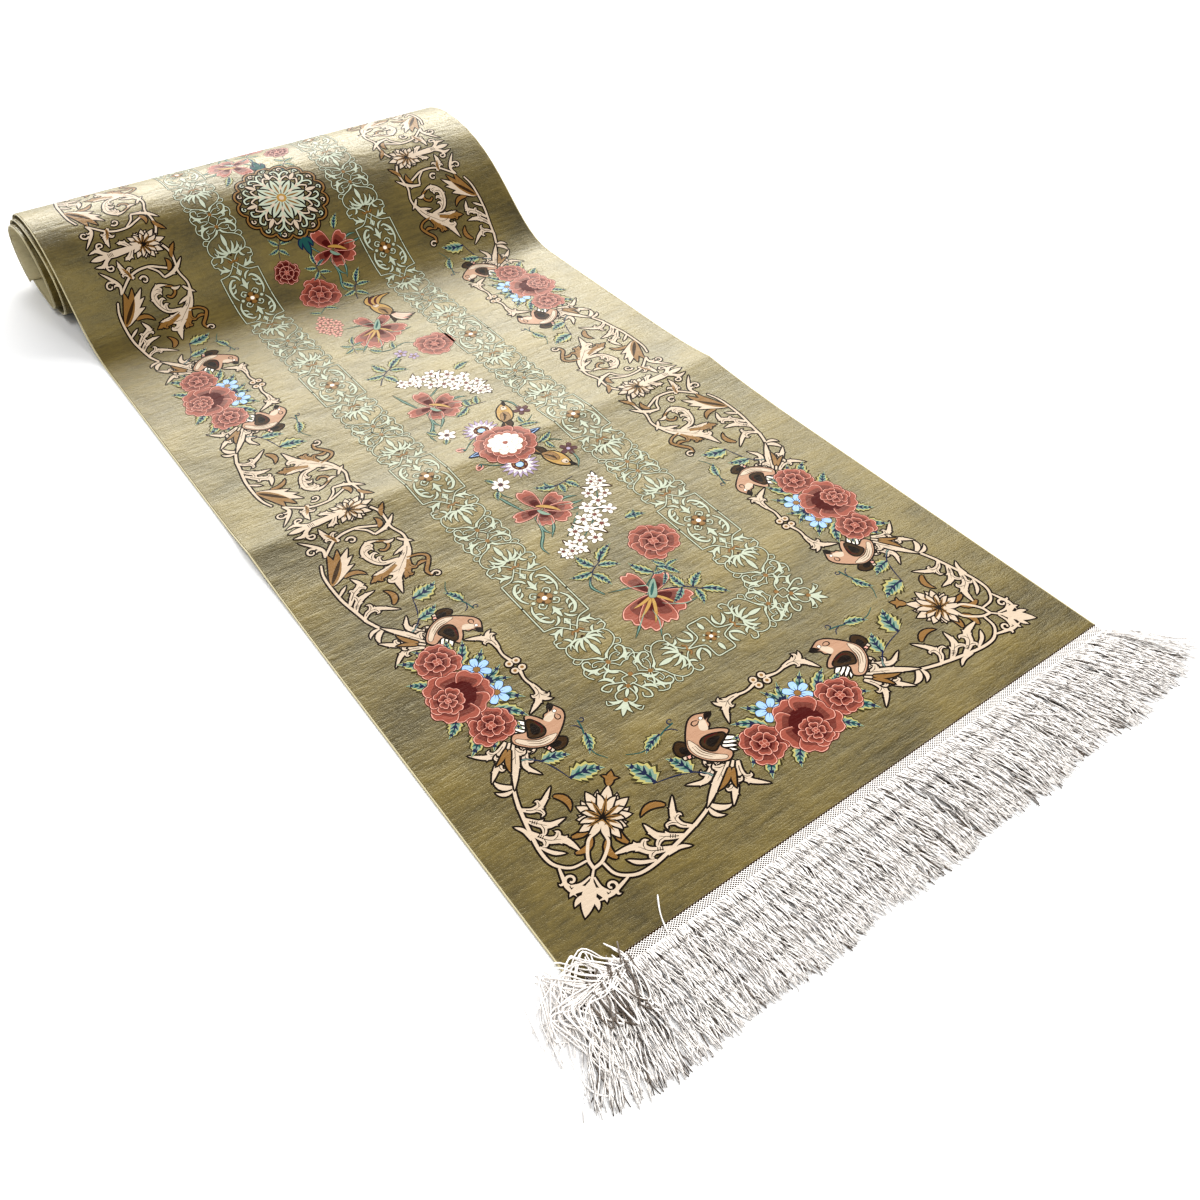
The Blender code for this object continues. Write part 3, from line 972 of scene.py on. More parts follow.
def border_start(pen):
    """From a bouquet outwards, x along the border and y in from the rug's edge: the leafy
    joint, the bird on it and the sprig beyond."""
    leaves = pen.moved(0, 0)  # each leaf lies over the one before
    for points, width, lobes in (
            ([(90, 106), (97, 92), (96, 78), (82, 62)], 7, [(0.5, -1, 9)]),
            ([(96, 116), (114, 116), (132, 106), (150, 114)], 7, [(0.5, 1, 10)]),
            ([(94, 110), (108, 96), (114, 80), (128, 64)], 8, [(0.4, -1, 12), (0.6, 1, 9)]),
            ([(92, 118), (108, 107), (126, 96), (150, 79)], 9, [(0.5, -1, 15), (0.3, 1, 12)])):
        flame(leaves, points, width, lobes)
        leaves.level += 0.7
    leaves.tear(102, 104, 128, 88, 6, -0.08, "ochre")
    leaves.tear(99, 101, 112, 80, 5, 0.06, "ochre")
    notches(pen, 100, 112, -35, 6)
    pen.curl(112, 124, 8, -80, 330, (3.4, 1.8))
    bird = pen.moved(0, 0)
    bird.level += 4
    songbird(bird, 103, 148)
    pen.level += 1
    sprig(pen, [(124, 112), (136, 124), (156, 132), (176, 137)],
          [(136, 124, 146, 154, 19), (173, 137, 183, 174, 24)])
    blade(pen, [(128, 118), (122, 108), (124, 98)], (1.2, 3.4, 0.4), "navy")
    sprig(pen, [(112, 190), (126, 187), (140, 181), (160, 178), (176, 186)],
          [(132, 186, 158, 174, 14)], "teal")
    pen.stroke([(114, 178), (118, 184), (126, 187)], [0.8, 1.4, 1.2], "navy", None, 0.35)
    pen.curl(113, 194, 4.5, -70, 300, (1.6, 0.8), "navy", None)
    pen.level -= 1


def border_arch(pen):
    """Half of the cream arch over a bouquet, with the knot at its top."""
    pen.stroke([(9, 179), (24, 176), (38, 178)], [4.0, 2.6, 3.2])
    flame(pen, [(36, 178), (50, 178), (62, 170), (72, 152)], 8, [(0.4, 1, 12), (0.45, -1, 9)])
    pen.tear(52, 176, 68, 186, 6, -0.2)
    for x, y in ((6.5, 184), (6.5, 174)):
        pen.dot(x, y, 4.8, "cream")
        pen.dot(x, y, 2.4, "ochre", "umber", 0.6, 0.5, sides=8)


def bouquet(pen):
    """Roses, daisies and leaves, the same to both sides."""
    for side, turn in zip(both_hands(pen), (20, 200)):
        side.level += 1
        border_arch(side)
        for x0, y0, x1, y1, width in (
                (20, 118, 46, 160, 20), (40, 120, 72, 148, 17), (2, 122, 12, 164, 16),
                (50, 96, 84, 66, 20), (58, 104, 92, 90, 16), (62, 116, 84, 132, 15),
                (26, 80, 48, 58, 16)):
            garden_leaf(side, x0, y0, x1, y1, width)
        side.level += 1
        daisy(side, 22, 138, 18, 15)
        rose(side, 60, 106, 27, turn)
    pen.level += 3
    open_rose(pen, 0, 98, 38, 90)
    pen.level -= 3


def main_stem(pen, points):
    """The stem from the leafy joint to the outer edge, then on through points."""
    pen.stroke([(126, 98), (134, 90), (150, 78), (174, 69)], [3.8, 3.8, 3.6, 4.0])
    pen.stroke(points, [4.0, 4.0, 3.6, 3.2, 2.6])
    pen.tear(146, 80, 128, 66, 7, 0.2)
    pen.tear(150, 76, 142, 60, 5, 0.2)


def corner_arm(pen):
    """The cream scroll from the leafy joint to the corner, x along and y in from the edge."""
    main_stem(pen, [(172, 70), (196, 64), (226, 58), (246, 58), (258, 64), (266, 74), (268, 90)])
    flame(pen, [(176, 70), (184, 80), (182, 94), (170, 112)], 7, [(0.45, -1, 12), (0.55, 1, 8)])
    pen.tear(182, 108, 208, 112, 7.5, 0.24, "ochre")
    flame(pen, [(188, 66), (200, 74), (210, 84), (212, 102)], 8, [(0.5, -1, 13)])
    notches(pen, 196, 71, 40, 4.5)
    flame(pen, [(206, 62), (224, 72), (234, 86), (256, 92)], 9, [(0.5, 1, 11), (0.3, -1, 9)])
    notches(pen, 214, 67, 30, 4.5)
    pen.tear(254, 86, 246, 112, 7, -0.22, "ochre")
    flame(pen, [(226, 60), (240, 68), (248, 78)], 4.5)
    flame(pen, [(214, 58), (200, 58), (190, 52)], 4.5)
    flame(pen, [(258, 62), (272, 58), (282, 56), (296, 58)], 4.5, [(0.4, -1, 6)])
    pen.tear(236, 94, 226, 122, 7.5, -0.24, "ochre")


def corner_piece(pen):
    """The corner itself, on its diagonal: rayed flower, lyre and the pointed finial."""
    up = pen.moved(0, 0, -45)
    flower = up.moved(0, 190)
    palmette(flower, 1.0)
    flower.tear(0, 42, 0, 62, 9, 0, "ochre")
    for hand, side in zip((1, -1), both_hands(up)):
        flower.tear(0, 44, 9 * hand, 54, 5, hand * 0.25, "ochre")
        side.stroke([(1.5, 186), (2.5, 174), (10, 163), (10, 150), (7, 137), (0, 128)],
                    [3.2, 3.2, 3.6, 3.6, 3.6])
        side.tear(3, 104, 19, 92, 8, 0.2)
        side.stroke([(2, 118), (10, 108), (20, 104)], [2, 3.4, 3])
        side.curl(21, 111, 7, -90, 380, (3.6, 2.2), close=0.72)
        side.tear(4, 96, 12, 82, 6, 0.1)
    up.stroke([(0, 128), (0, 116), (0, 104)], [2.2, 3, 7])
    up.tear(0, 112, 0, 72, 15, 0)


def border_scroll(pen):
    """From a bouquet's leafy joint to the palmette halfway to the next bouquet."""
    main_stem(pen, [(172, 70), (197, 66), (221, 62), (252, 61), (276, 63), (294, 69)])
    flame(pen, [(176, 70), (184, 80), (182, 94), (166, 114)], 7, [(0.45, -1, 12), (0.55, 1, 9)])
    pen.tear(178, 112, 206, 114, 7.5, 0.24, "ochre")
    flame(pen, [(192, 66), (204, 74), (212, 86), (214, 103)], 8, [(0.5, -1, 14)])
    notches(pen, 200, 71, 40, 4.5)
    flame(pen, [(208, 66), (224, 80), (234, 94), (250, 89)], 8, [(0.55, 1, 9), (0.35, -1, 7)])
    pen.tear(257, 84, 247, 110, 7, -0.22, "ochre")
    flame(pen, [(230, 63), (236, 70), (242, 78)], 4)
    # The two-toned leaf where the outer stem ends.
    for x, y, bend, dye in (
            (272, 105, 0.10, "cream"), (288, 111, 0.06, "cream"), (303, 112, 0.0, "cream"),
            (308, 99, -0.04, "ochre"), (306, 84, -0.08, "ochre")):
        pen.tear(252, 64, x, y, 13, -bend, dye, root=0.2)
    pen.tear(256, 66, 292, 96, 6, 0, "umber", None, 0.7)
    # The outer hook, and the stem that climbs to the palmette's side.
    flame(pen, [(304, 80), (318, 84), (332, 76), (348, 63)], 5, [(0.35, -1, 9)])
    pen.curl(322, 70, 8, 60, -330, (3.4, 1.8))
    pen.stroke([(306, 82), (316, 92), (326, 104), (332, 120), (332, 140), (326, 154), (320, 166)],
               [3, 3.6, 3.6, 3.6, 3.4, 3.2])
    flame(pen, [(322, 110), (330, 104), (342, 98), (357, 97)], 8, [(0.35, 1, 13), (0.4, -1, 8)])
    pen.tear(322, 106, 344, 98, 5, 0.1, "ochre", None, 0.6)
    pen.curl(314, 124, 7.5, -60, 320, (3.4, 1.8))
    pen.stroke([(331, 138), (320, 150), (308, 155)], [2.4, 3, 3])
    # The crescent leaf and the stem along the inner side.
    flame(pen, [(307, 155), (310, 170), (317, 182), (329, 194)], 6)
    pen.tear(316, 166, 335, 170, 7, 0.22, "ochre")
    pen.stroke([(366, 162), (360, 174), (344, 182), (326, 182), (308, 180), (288, 186), (274, 185)],
               [3, 3.4, 3.2, 3.2, 3.2, 3.6])
    flame(pen, [(334, 181), (344, 184), (356, 194)], 6, (), "ochre")
    flame(pen, [(284, 176), (276, 182), (268, 191)], 4.5)
    # The thick leaf that falls towards the bird.
    flame(pen, [(276, 185), (254, 174), (236, 156), (218, 140), (190, 132)], 14,
          [(0.78, 1, 12), (0.62, 1, 18)], root=0.3)
    flame(pen, [(246, 160), (240, 140), (238, 126), (239, 116)], 7)
    flame(pen, [(240, 150), (232, 130), (232, 118), (228, 107)], 9, [(0.5, -1, 8)], "ochre")
    flame(pen, [(240, 168), (228, 162), (218, 154), (211, 148)], 8,
          [(0.3, -1, 11), (0.6, -1, 8)], "ochre")
    notches(pen, 252, 168, -40, 6, 4)
    pen.stroke([(244, 168), (240, 184), (231, 192), (219, 186), (207, 177), (196, 179)],
               [2.6, 3.2, 4.6, 4.6, 3.0], "ochre")
    pen.curl(195, 185, 7, -60, 300, (3, 1.8))
    pen.tear(224, 186, 222, 172, 5, 0.2, "ochre")
    # The crescent of lobes and the spiral inside it.
    flame(pen, [(248, 158), (252, 138), (266, 128), (284, 126), (297, 138), (294, 154)], 9,
          [(0.25, 1, 12), (0.42, 1, 14), (0.6, 1, 13), (0.75, 1, 10)])
    pen.stroke([(294, 150), (288, 160), (278, 160), (273, 152), (277, 146)],
               [2.2, 3.4, 3.6, 2.4], "ochre")
    pen.tear(288, 158, 286, 172, 5, 0.2)
    flame(pen, [(266, 180), (262, 170), (258, 157)], 5)


def border_palmette(pen):
    """The flower between two scrolls, the same to both sides."""
    flower = pen.moved(0, 148)
    palmette(flower, 0.86)
    pen.stroke([(0, 148), (0, 120), (0, 100), (0, 80)], [4, 10, 12, 7])
    notches(pen, 0, 96, -90, 7, 4)
    for side in both_hands(pen):
        flame(side, [(2, 128), (12, 120), (16, 110)], 7)
        flame(side, [(2, 92), (8, 82), (14, 74), (12, 62)], 6, [(0.5, 1, 8)])
        side.stroke([(4, 84), (12, 78), (20, 78)], [3, 3, 2.8])
        side.curl(20, 84, 6, -90, 320, (3, 1.8))
    pen.tear(0, 84, 0, 60, 9, 0)


# ---------------------------------------------------------------- the filigree band

LACE_RIM = 1.15
LACE_SLIMMING = 0.8  # how much narrower than drawn its leaves are


def lace(pen, points, *widths):
    """A pale line of the band, of one width or of several along it."""
    if len(widths) == 1:
        widths *= 2
    pen.stroke(points, widths, "mint", "pine", edge=LACE_RIM, fine=4)


def lace_leaf(pen, x0, y0, x1, y1, width, bend=0.0):
    """A pale leaf of the band, from its root to its tip."""
    pen.tear(x0, y0, x1, y1, width * LACE_SLIMMING, bend, "mint", "pine", edge=LACE_RIM)


def lace_knot(pen):
    """One quarter, doubled: curls round a small diamond. The other half is its mirror."""
    for side in both_hands(pen):
        lace(side, [(0, 11), (5, 6), (8.5, 0)], 1.3)
        lace(side, [(2, 12.5), (12, 9), (23, 12), (30, 20), (27, 28), (20, 27), (20, 21)], 1.4, 2.2, 1.4)
        lace_leaf(side, 14, 10, 29, 24, 5.5, -0.28)
        lace(side, [(8.5, 0), (15, 3), (22, 3), (24, 7), (19, 8)], 1.3)
        lace_leaf(side, 20, 3, 33, 9, 4.5, 0.3)
        lace(side, [(2, 14), (9, 20), (17, 21), (20, 16), (15, 15)], 1.2)
        lace_leaf(side, 3, 18, 12, 27, 4.5, 0.2)
        lace(side, [(30, 20), (35, 14), (34, 6), (30, 0)], 1.4)
    pen.dot(0, 12.5, 3.4, "ochre", "umber", 0.6, 0.5)


def lace_fan(pen):
    """A lotus cell: an outline that opens, closes and curls in, with a fan of leaves in it."""
    for side in both_hands(pen):
        lace(side, [(0, 19), (9, 27), (22, 33), (31, 42), (32, 54), (26, 62), (19, 60), (20, 54)], 1.5)
        lace(side, [(26, 62), (14, 65), (6, 71), (2, 77)], 1.5)
        lace(side, [(22, 33), (31, 30), (35, 36), (30, 40)], 1.3)
        lace(side, [(28, 61), (35, 66), (34, 73), (27, 72)], 1.4, 2.0, 1.2)
        lace_leaf(side, 16, 65, 23, 74, 4.5, 0.2)
        lace_leaf(side, 1, 63, 11, 42, 5.0, 0.16)
        lace_leaf(side, 2, 62, 20, 46, 5.0, 0.22)
        lace_leaf(side, 3, 63, 25, 54, 4.5, 0.26)
    lace_leaf(pen, 0, 50, 0, 27, 8.5)
    lace_leaf(pen, 0, 64, 0, 47, 5.5)
    pen.dot(0, 66, 2.2, "umber", None, 0.6)
    pen.stroke([(-9, 74), (-5, 78.5), (0, 76), (5, 78.5), (9, 74)], [2.2, 3.2, 2.2],
               "ochre", "umber", 0.65, 0.5, fine=3)


def lace_cross(pen):
    """The crossing between a fan and a cartouche, with a pair of forked leaves."""
    for side in both_hands(pen):
        lace(side, [(2, 80), (9, 89), (18, 97), (34, 99.5)], 1.6)
        lace(side, [(-6, 83), (-1, 90), (4, 98)], 1.3)
        lace_leaf(side, 12, 90, 30, 78, 5.5, 0.2)
        lace_leaf(side, 14, 91, 31, 92, 5.5, -0.2)
        lace_leaf(side, 13, 90, 21, 79, 4.0, 0.1)
        lace(side, [(28, 80), (34, 78), (35, 73), (31, 73)], 1.3)
    lace_leaf(pen, 0, 103, 0, 90, 5.0)


def rosette(pen, x, y, size=1.0):
    """An ochre clasp of four lobes with white pearls."""
    r = pen.moved(x, y, 0, size)
    for k in range(4):
        dx, dy = turned(6.6, 0, 90 * k)
        r.dot(dx, dy, 5.0, "ochre", "umber", 0.6, 0.6)
    for k in range(4):
        dx, dy = turned(7.6, 0, 90 * k + 45)
        r.dot(dx, dy, 2.4, "umber", None, 0.7, sides=6)
        dx, dy = turned(12.6, 0, 90 * k + 45)
        r.dot(dx, dy, 2.1, "mint", "pine", 0.7, 0.7, sides=7)
    r.dot(0, 0, 3.6, "white", "umber", 0.75, 0.8)
    for x, y in ((17, 0), (-17, 0)):
        r.dot(x, y, 2.8, "mint", "pine", 0.7, 0.7)


def lace_cartouche(pen):
    """Half of the framed cell, up to its rosette; the other half is its mirror."""
    for side in both_hands(pen):
        lace(side, [(34, 99), (34.2, 124), (34, 148)], 1.7)
        lace(side, [(5, 97), (0, 104)], 1.3)
        lace(side, [(22, 145), (27, 134), (26, 118), (18, 108), (12, 109)], 1.6, 4.6, 2.0)
        lace(side, [(4, 136), (10, 132), (15, 137), (11, 142), (7, 140)], 1.3, 2.0, 1.3)
        lace_leaf(side, 5, 112, 18, 100, 4.5, -0.2)
        lace_leaf(side, 26, 130, 18, 122, 4.0, -0.2)
        lace_leaf(side, 25, 120, 15, 114, 4.0, -0.2)
        lace_leaf(side, 0, 130, 9, 119, 4.0, -0.2)
    lace_leaf(pen, 0, 129, 0, 108, 8.0)


def half_repeat(pen):
    """The band from the middle of a knot to the middle of a cartouche."""
    for part in (lace_knot, lace_fan, lace_cross, lace_cartouche):
        part(pen)


def lace_corner(pen):
    """The corner of the band, on its diagonal, its tip towards the rug's corner."""
    up = pen.moved(0, 0, -45)
    for side in both_hands(up):
        lace(side, [(0, 14), (9, 5), (0, -4)], 1.4)
        lace(side, [(3, 12), (14, 17), (27, 13), (30, 3), (22, -1), (18, 6)], 1.4, 2.2, 1.4)
        lace_leaf(side, 14, 15, 34, 22, 5.5, -0.2)
        lace(side, [(4, 1), (14, -3), (26, -8), (30, -16), (21, -18), (18, -12)], 1.4, 2.2, 1.4)
        lace_leaf(side, 16, -4, 36, -4, 5.5, 0.25)
        lace_leaf(side, 6, -4, 10, -16, 5.0, 0.2)
        lace(side, [(0, -6), (9, -14), (13, -22), (9, -29), (0, -28)], 1.5)
        lace_leaf(side, 4, -28, 20, -32, 5.5, -0.2)
        lace(side, [(6, -30), (13, -36), (20, -38), (22, -32)], 1.3)
        lace_leaf(side, 1, -28, 11, -44, 5.5, -0.15)
    for at in (14, -5, -27):
        up.dot(0, at, 3.2, "ochre", "umber", 0.6, 0.6)
    lace_leaf(up, 0, -30, 0, -52, 8.0)
    lace_leaf(up, 0, -9, 0, -23, 5.5)


# ---------------------------------------------------------------- the field


def lily(pen, x, y, turn=0.0, size=1.0):
    """An open lily on its calyx, its throat towards the turn."""
    flower = pen.moved(x, y, turn, size)
    for x0, y0, x1, y1 in (
            (18, 26, -30, 44), (-8, -34, -22, -56), (-30, -24, -50, -40), (36, -28, 60, -30)):
        blade(flower, [(x0 * 0.4, y0 * 0.4), (x0, y0), (x1, y1)], (1.5, 5, 0.3))
    for angle, reach, width in (
            (206, 54, 34), (284, 44, 32), (318, 48, 26), (100, 44, 22), (30, 40, 20),
            (232, 60, 30), (262, 50, 24)):
        petal(flower.moved(14, 10), angle, 5, reach, width, veins=2)
    flower.join = 0.0
    for angle, reach in ((214, 44), (238, 50), (300, 34), (190, 34)):
        dx, dy = turned(reach, 0, angle)
        flower.tear(12, 8, 12 + dx, 8 + dy, 4.6, 0.06, "gold", "maroon", edge=0.4)
    flower.blob([(8, 6), (16, 2), (26, 14), (34, 30), (26, 28), (14, 16)], "mist", "pine", edge=0.6)
    flower.tear(12, 8, 30, 26, 4, 0, "teal", None)


def iris(pen, x, y, turn=0.0, size=1.0):
    """An iris: two standards, three falls with pale edges, long blades and a stem."""
    flower = pen.moved(x, y, turn, size)
    for points in (
            [(-18, -8), (-26, -40), (-44, -64), (-44, -82)], [(-14, -8), (-22, -36), (-16, -52)],
            [(-22, 8), (-32, 40), (-38, 66)], [(24, -6), (44, -14), (58, -16)],
            [(26, 0), (42, 2), (56, -4)], [(0, -22), (-8, -40), (-22, -56)]):
        blade(flower, points, (1.4, 4.6, 0.3))
    for angle, reach, width in (
            (96, 44, 24), (176, 40, 20), (20, 36, 24), (300, 38, 24), (248, 30, 24), (336, 40, 20)):
        petal(flower, angle, 4, reach, width, veins=2)
    flower.join = 0.0
    flower.tear(-4, 10, 20, -18, 6, 0.1, "gold", "maroon", edge=0.5)
    flower.tear(-6, 2, 4, -16, 6, -0.1, "mist", "pine", edge=0.5)


PEONY_PETALS = 8
# The rings of a peony's heart: radius, how many dots, their size, as shares of the flower's.
PEONY_HEART = ((0.44, 10, 0.15), (0.30, 8, 0.14), (0.15, 5, 0.12))


def peony(pen, x, y, radius):
    """A full round flower with a pale ruffled heart."""
    flower = pen.moved(x, y)
    for k in range(PEONY_PETALS):
        petal(flower, 360 * k / PEONY_PETALS + 20, radius * 0.36, radius * 0.66, radius * 0.72)
    for k in range(PEONY_PETALS):
        petal(flower, 360 * (k + 0.5) / PEONY_PETALS + 20, radius * 0.22, radius * 0.48,
              radius * 0.50, veins=1)
    flower.join = 0.0
    for ring, count, size in PEONY_HEART:
        for k in range(count):
            dx, dy = turned(radius * ring, 0, 360 * (k + ring) / count)
            flower.dot(dx, dy, radius * size, "white", "ochre", edge=0.6, sides=8)
    flower.dot(0, 0, radius * 0.08, "coral", "maroon", edge=0.5, sides=8)


def fringed_disc(pen, x, y, radius):
    """A lilac flower head of many fine rays about a dark heart."""
    flower = pen.moved(x, y)
    flower.join = 0.0
    for ring, count, dye in ((1.0, 18, "lilac"), (0.72, 14, "white")):
        for k in range(count):
            dx, dy = turned(radius * ring, 0, 360 * (k + ring) / count)
            flower.tear(0, 0, dx, dy, radius * 0.24, 0, dye, "plum", edge=0.5, root=0.5)
    flower.dot(0, 0, radius * 0.36, "ochre", "maroon")
    for k in range(6):
        dx, dy = turned(radius * 0.34, 0, 60 * k)
        flower.dot(dx, dy, radius * 0.09, "maroon", None, sides=7)
    flower.dot(0, 0, radius * 0.2, "sky", "umber")


def blossom(pen, x, y, radius):
    """A small white flower of five petals, turned by its place so that no two look alike."""
    flower = pen.moved(x, y, x * 7 + y * 3)
    flower.join = 0.0
    for k in range(5):
        p = flower.moved(0, 0, 72.0 * k)
        p.blob([(radius * 0.1, 0), (radius * 0.6, -radius * 0.30), (radius, -radius * 0.16),
                (radius, radius * 0.16), (radius * 0.6, radius * 0.30)], "white", "umber",
               edge=0.8, fine=2)
        p.fill([(radius * 0.1, -0.9), (radius * 0.66, 0), (radius * 0.1, 0.9)], "plum")
    flower.dot(0, 0, radius * 0.26, "madder", "walnut", edge=0.5, sides=6)


SPRAY_WIDTH = 15.0  # of a spray at its middle, to each side


def blossom_spray(pen, points):
    """A drift of small white flowers, fullest in its middle, on a fine stem."""
    line = smooth(points, fine=3)
    pen.stroke(points, [1.2, 1.8, 1.0], "teal", None, 0.3)
    _, side = sideways(line)
    count = len(line)
    for k in range(1, count - 1):
        share = k / (count - 1)
        full = SPRAY_WIDTH * (0.15 + 0.85 * math.sin(math.pi * share))
        for lane in (-1, 1) if k % 2 else (0,):
            away = lane * full + 2.0 * math.sin(5 * k + 2 * lane)
            x, y = line[k] + side[k] * away
            size = 7.0 + 4.2 * math.sin(math.pi * share) + 0.8 * math.sin(7 * k + 3 * lane)
            blossom(pen, x, y, size)
        for lane in (-1, 1):
            if k % 3 == 0:
                x, y = line[k] + side[k] * lane * (full + 11)
                pen.tear(*line[k], x, y, 4.5, 0.1, "white", "umber")
    for end, before in ((0, 1), (-1, -2)):
        pen.tear(*line[before], *line[end], 5, 0, "white")


def bud(pen, x, y, angle, size):
    """A pink bud between two small green sepals."""
    b = pen.moved(x, y, angle)
    b.join = 0.0
    b.blob([(0, -size * 0.3), (size * 0.5, -size * 0.62), (size * 1.2, -size * 0.4),
            (size * 1.5, 0), (size * 1.2, size * 0.4), (size * 0.5, size * 0.62),
            (0, size * 0.3)], "blush", "maroon", edge=0.5)
    b.blob([(size * 0.2, -size * 0.3), (size * 1.1, -size * 0.25), (size * 1.3, 0),
            (size * 0.9, size * 0.3)], "madder", None)
    for hand in (1, -1):
        b.tear(-size * 0.2, 0, size * 0.7, hand * size * 0.4, size * 0.3, 0, "teal", None)


def leaf_spray(pen, x, y, turn, size):
    """Five toothed leaves on one arching stem."""
    s = pen.moved(x, y, turn, size)
    sprig(s, [(-30, -26), (-12, -8), (6, 2), (44, 14)],
          [(2, 2, -4, 34, 16), (14, 6, 50, 22, 15), (-8, -4, -38, 6, 15),
           (-10, -8, -4, -40, 15), (8, 0, 32, -18, 14)])


def field_flowers_near(pen):
    """The near quarter of the field, from the fringe's end to the peony on the fold."""
    lily(pen, 373, 360)
    leaf_spray(pen, 436, 350, -70, 0.92)
    leaf_spray(pen, 432, 396, 200, 0.6)
    sprig(pen, [(392, 386), (420, 402), (444, 424)],
          [(414, 400, 398, 432, 15), (424, 406, 440, 386, 13)], "teal")
    rose(pen, 452, 448, 33, 10, 8)
    leaf_spray(pen, 356, 452, 6, 0.95)
    blade(pen, [(338, 404), (332, 424), (340, 440)])
    pen.level += 1
    blossom_spray(pen, [(334, 494), (362, 500), (398, 520), (432, 548), (458, 586), (472, 616)])
    pen.level -= 1
    blade(pen, [(404, 556), (384, 538), (364, 524)], (1.2, 2.6, 0.4))
    blade(pen, [(440, 560), (404, 566), (386, 574)], (1.2, 2.6, 0.4))
    garden_leaf(pen, 450, 508, 478, 500, 15)
    garden_leaf(pen, 462, 500, 470, 516, 10)
    iris(pen, 368, 590)
    sprig(pen, [(388, 622), (414, 620), (444, 624)],
          [(412, 620, 384, 634, 14), (418, 620, 414, 600, 13),
           (428, 620, 438, 598, 13), (404, 620, 402, 636, 9)])


def field_heart(pen):
    """What stands about the peony on the fold, one side of it, y away from its middle."""
    pen.level += 1
    fringed_disc(pen, -9, 52, 29)
    garden_bird(pen, 42, 66, 62, 0.98)
    pen.level -= 1
    daisy(pen, -56, 74, 14, 0, 6, "white", "plum", "plum")
    daisy(pen, 70, 62, 13, 20, 5, "plum", "maroon", "lilac")
    blade(pen, [(70, 70), (68, 90), (58, 104)], (1.2, 3.4, 0.4))
    sprig(pen, [(-64, 70), (-66, 92), (-58, 108)],
          [(-66, 84, -76, 100, 10), (-62, 66, -70, 54, 9)], "teal")
    bud(pen, -56, 22, 140, 9)
    pen.stroke([(-54, 22), (-40, 34), (-28, 40)], [1.2, 1.8, 1.2], "teal", None, 0.3)
    sprig(pen, [(40, 26), (60, 30), (74, 40)], [(44, 26, 70, 14, 12), (52, 30, 56, 50, 10)], "teal")


def field_peony(pen):
    """The big peony on the fold, with a blue leaf to each side."""
    for angle in (0, 180):
        dx, dy = turned(60, 0, angle)
        pen.tear(0, 0, dx, dy, 13, 0, "sky", "navy")
        pen.tear(dx * 0.6, 0, dx * 0.95, 0, 5, 0, "navy", None, 0.6)
    pen.level += 3
    peony(pen, 0, 0, 46)
    pen.level -= 3


def field_flowers_far(pen):
    """From the fold's flowers to the medallion."""
    iris(pen, 372, 890, 0, 0.98)
    sprig(pen, [(388, 858), (414, 860), (444, 856)],
          [(412, 860, 384, 846, 13), (418, 860, 420, 880, 13), (430, 858, 440, 878, 12)])
    pen.level += 1
    blossom_spray(pen, [(352, 972), (384, 968), (416, 952), (440, 928), (456, 896), (464, 872)])
    pen.level -= 1
    blade(pen, [(408, 936), (388, 922), (368, 912)], (1.2, 2.6, 0.4))
    garden_leaf(pen, 452, 960, 480, 968, 14)
    leaf_spray(pen, 358, 1018, 8, 0.95)
    daisy(pen, 404, 1052, 11, 0, 5, "lilac", "plum", "ochre")
    daisy(pen, 418, 1034, 9, 30, 5, "lilac", "plum", "ochre")
    rose(pen, 464, 1046, 31, 40, 8)
    sprig(pen, [(372, 1080), (396, 1072), (424, 1078), (440, 1066)],
          [(384, 1076, 368, 1094, 11), (404, 1072, 410, 1092, 10)], "teal")
    lily(pen, 398, 1136, 8, 0.96)
    pen.level += 1
    garden_bird(pen, 448, 1192, 100, 1.05)
    for k in range(5):
        pen.tear(438 + 3 * k, 1214, 446 + 9 * k, 1244 - 2 * k, 7, 0.2, "maroon" if k % 2 else "gold")
        pen.tear(452 + 2 * k, 1170, 466 + 5 * k, 1140 + 3 * k, 6, -0.1, "blush" if k % 2 else "cream")
    for row, count in enumerate((1, 2, 3, 3, 2, 1)):
        for k in range(count):
            daisy(pen, 348 + (k - (count - 1) / 2) * 15, 1166 + row * 12, 8, 20 * row, 5,
                  "blush", "plum", "madder")
    pen.level -= 1
    leaf_spray(pen, 350, 1116, 40, 0.6)
    rose(pen, 378, 1290, 33, 0, 8)
    leaf_spray(pen, 440, 1280, 30, 0.8)
    sprig(pen, [(352, 1240), (370, 1256), (384, 1262)],
          [(358, 1244, 340, 1256, 11), (370, 1256, 388, 1240, 11)], "teal")
    iris(pen, 440, 1362, 20, 0.95)
    rose(pen, 346, 1352, 21, 0, 9, glow="madder", dye="maroon")
    leaf_spray(pen, 398, 1340, 60, 0.62)
    leaf_spray(pen, 354, 1400, 30, 0.6)
    garden_leaf(pen, 458, 1396, 474, 1420, 12)


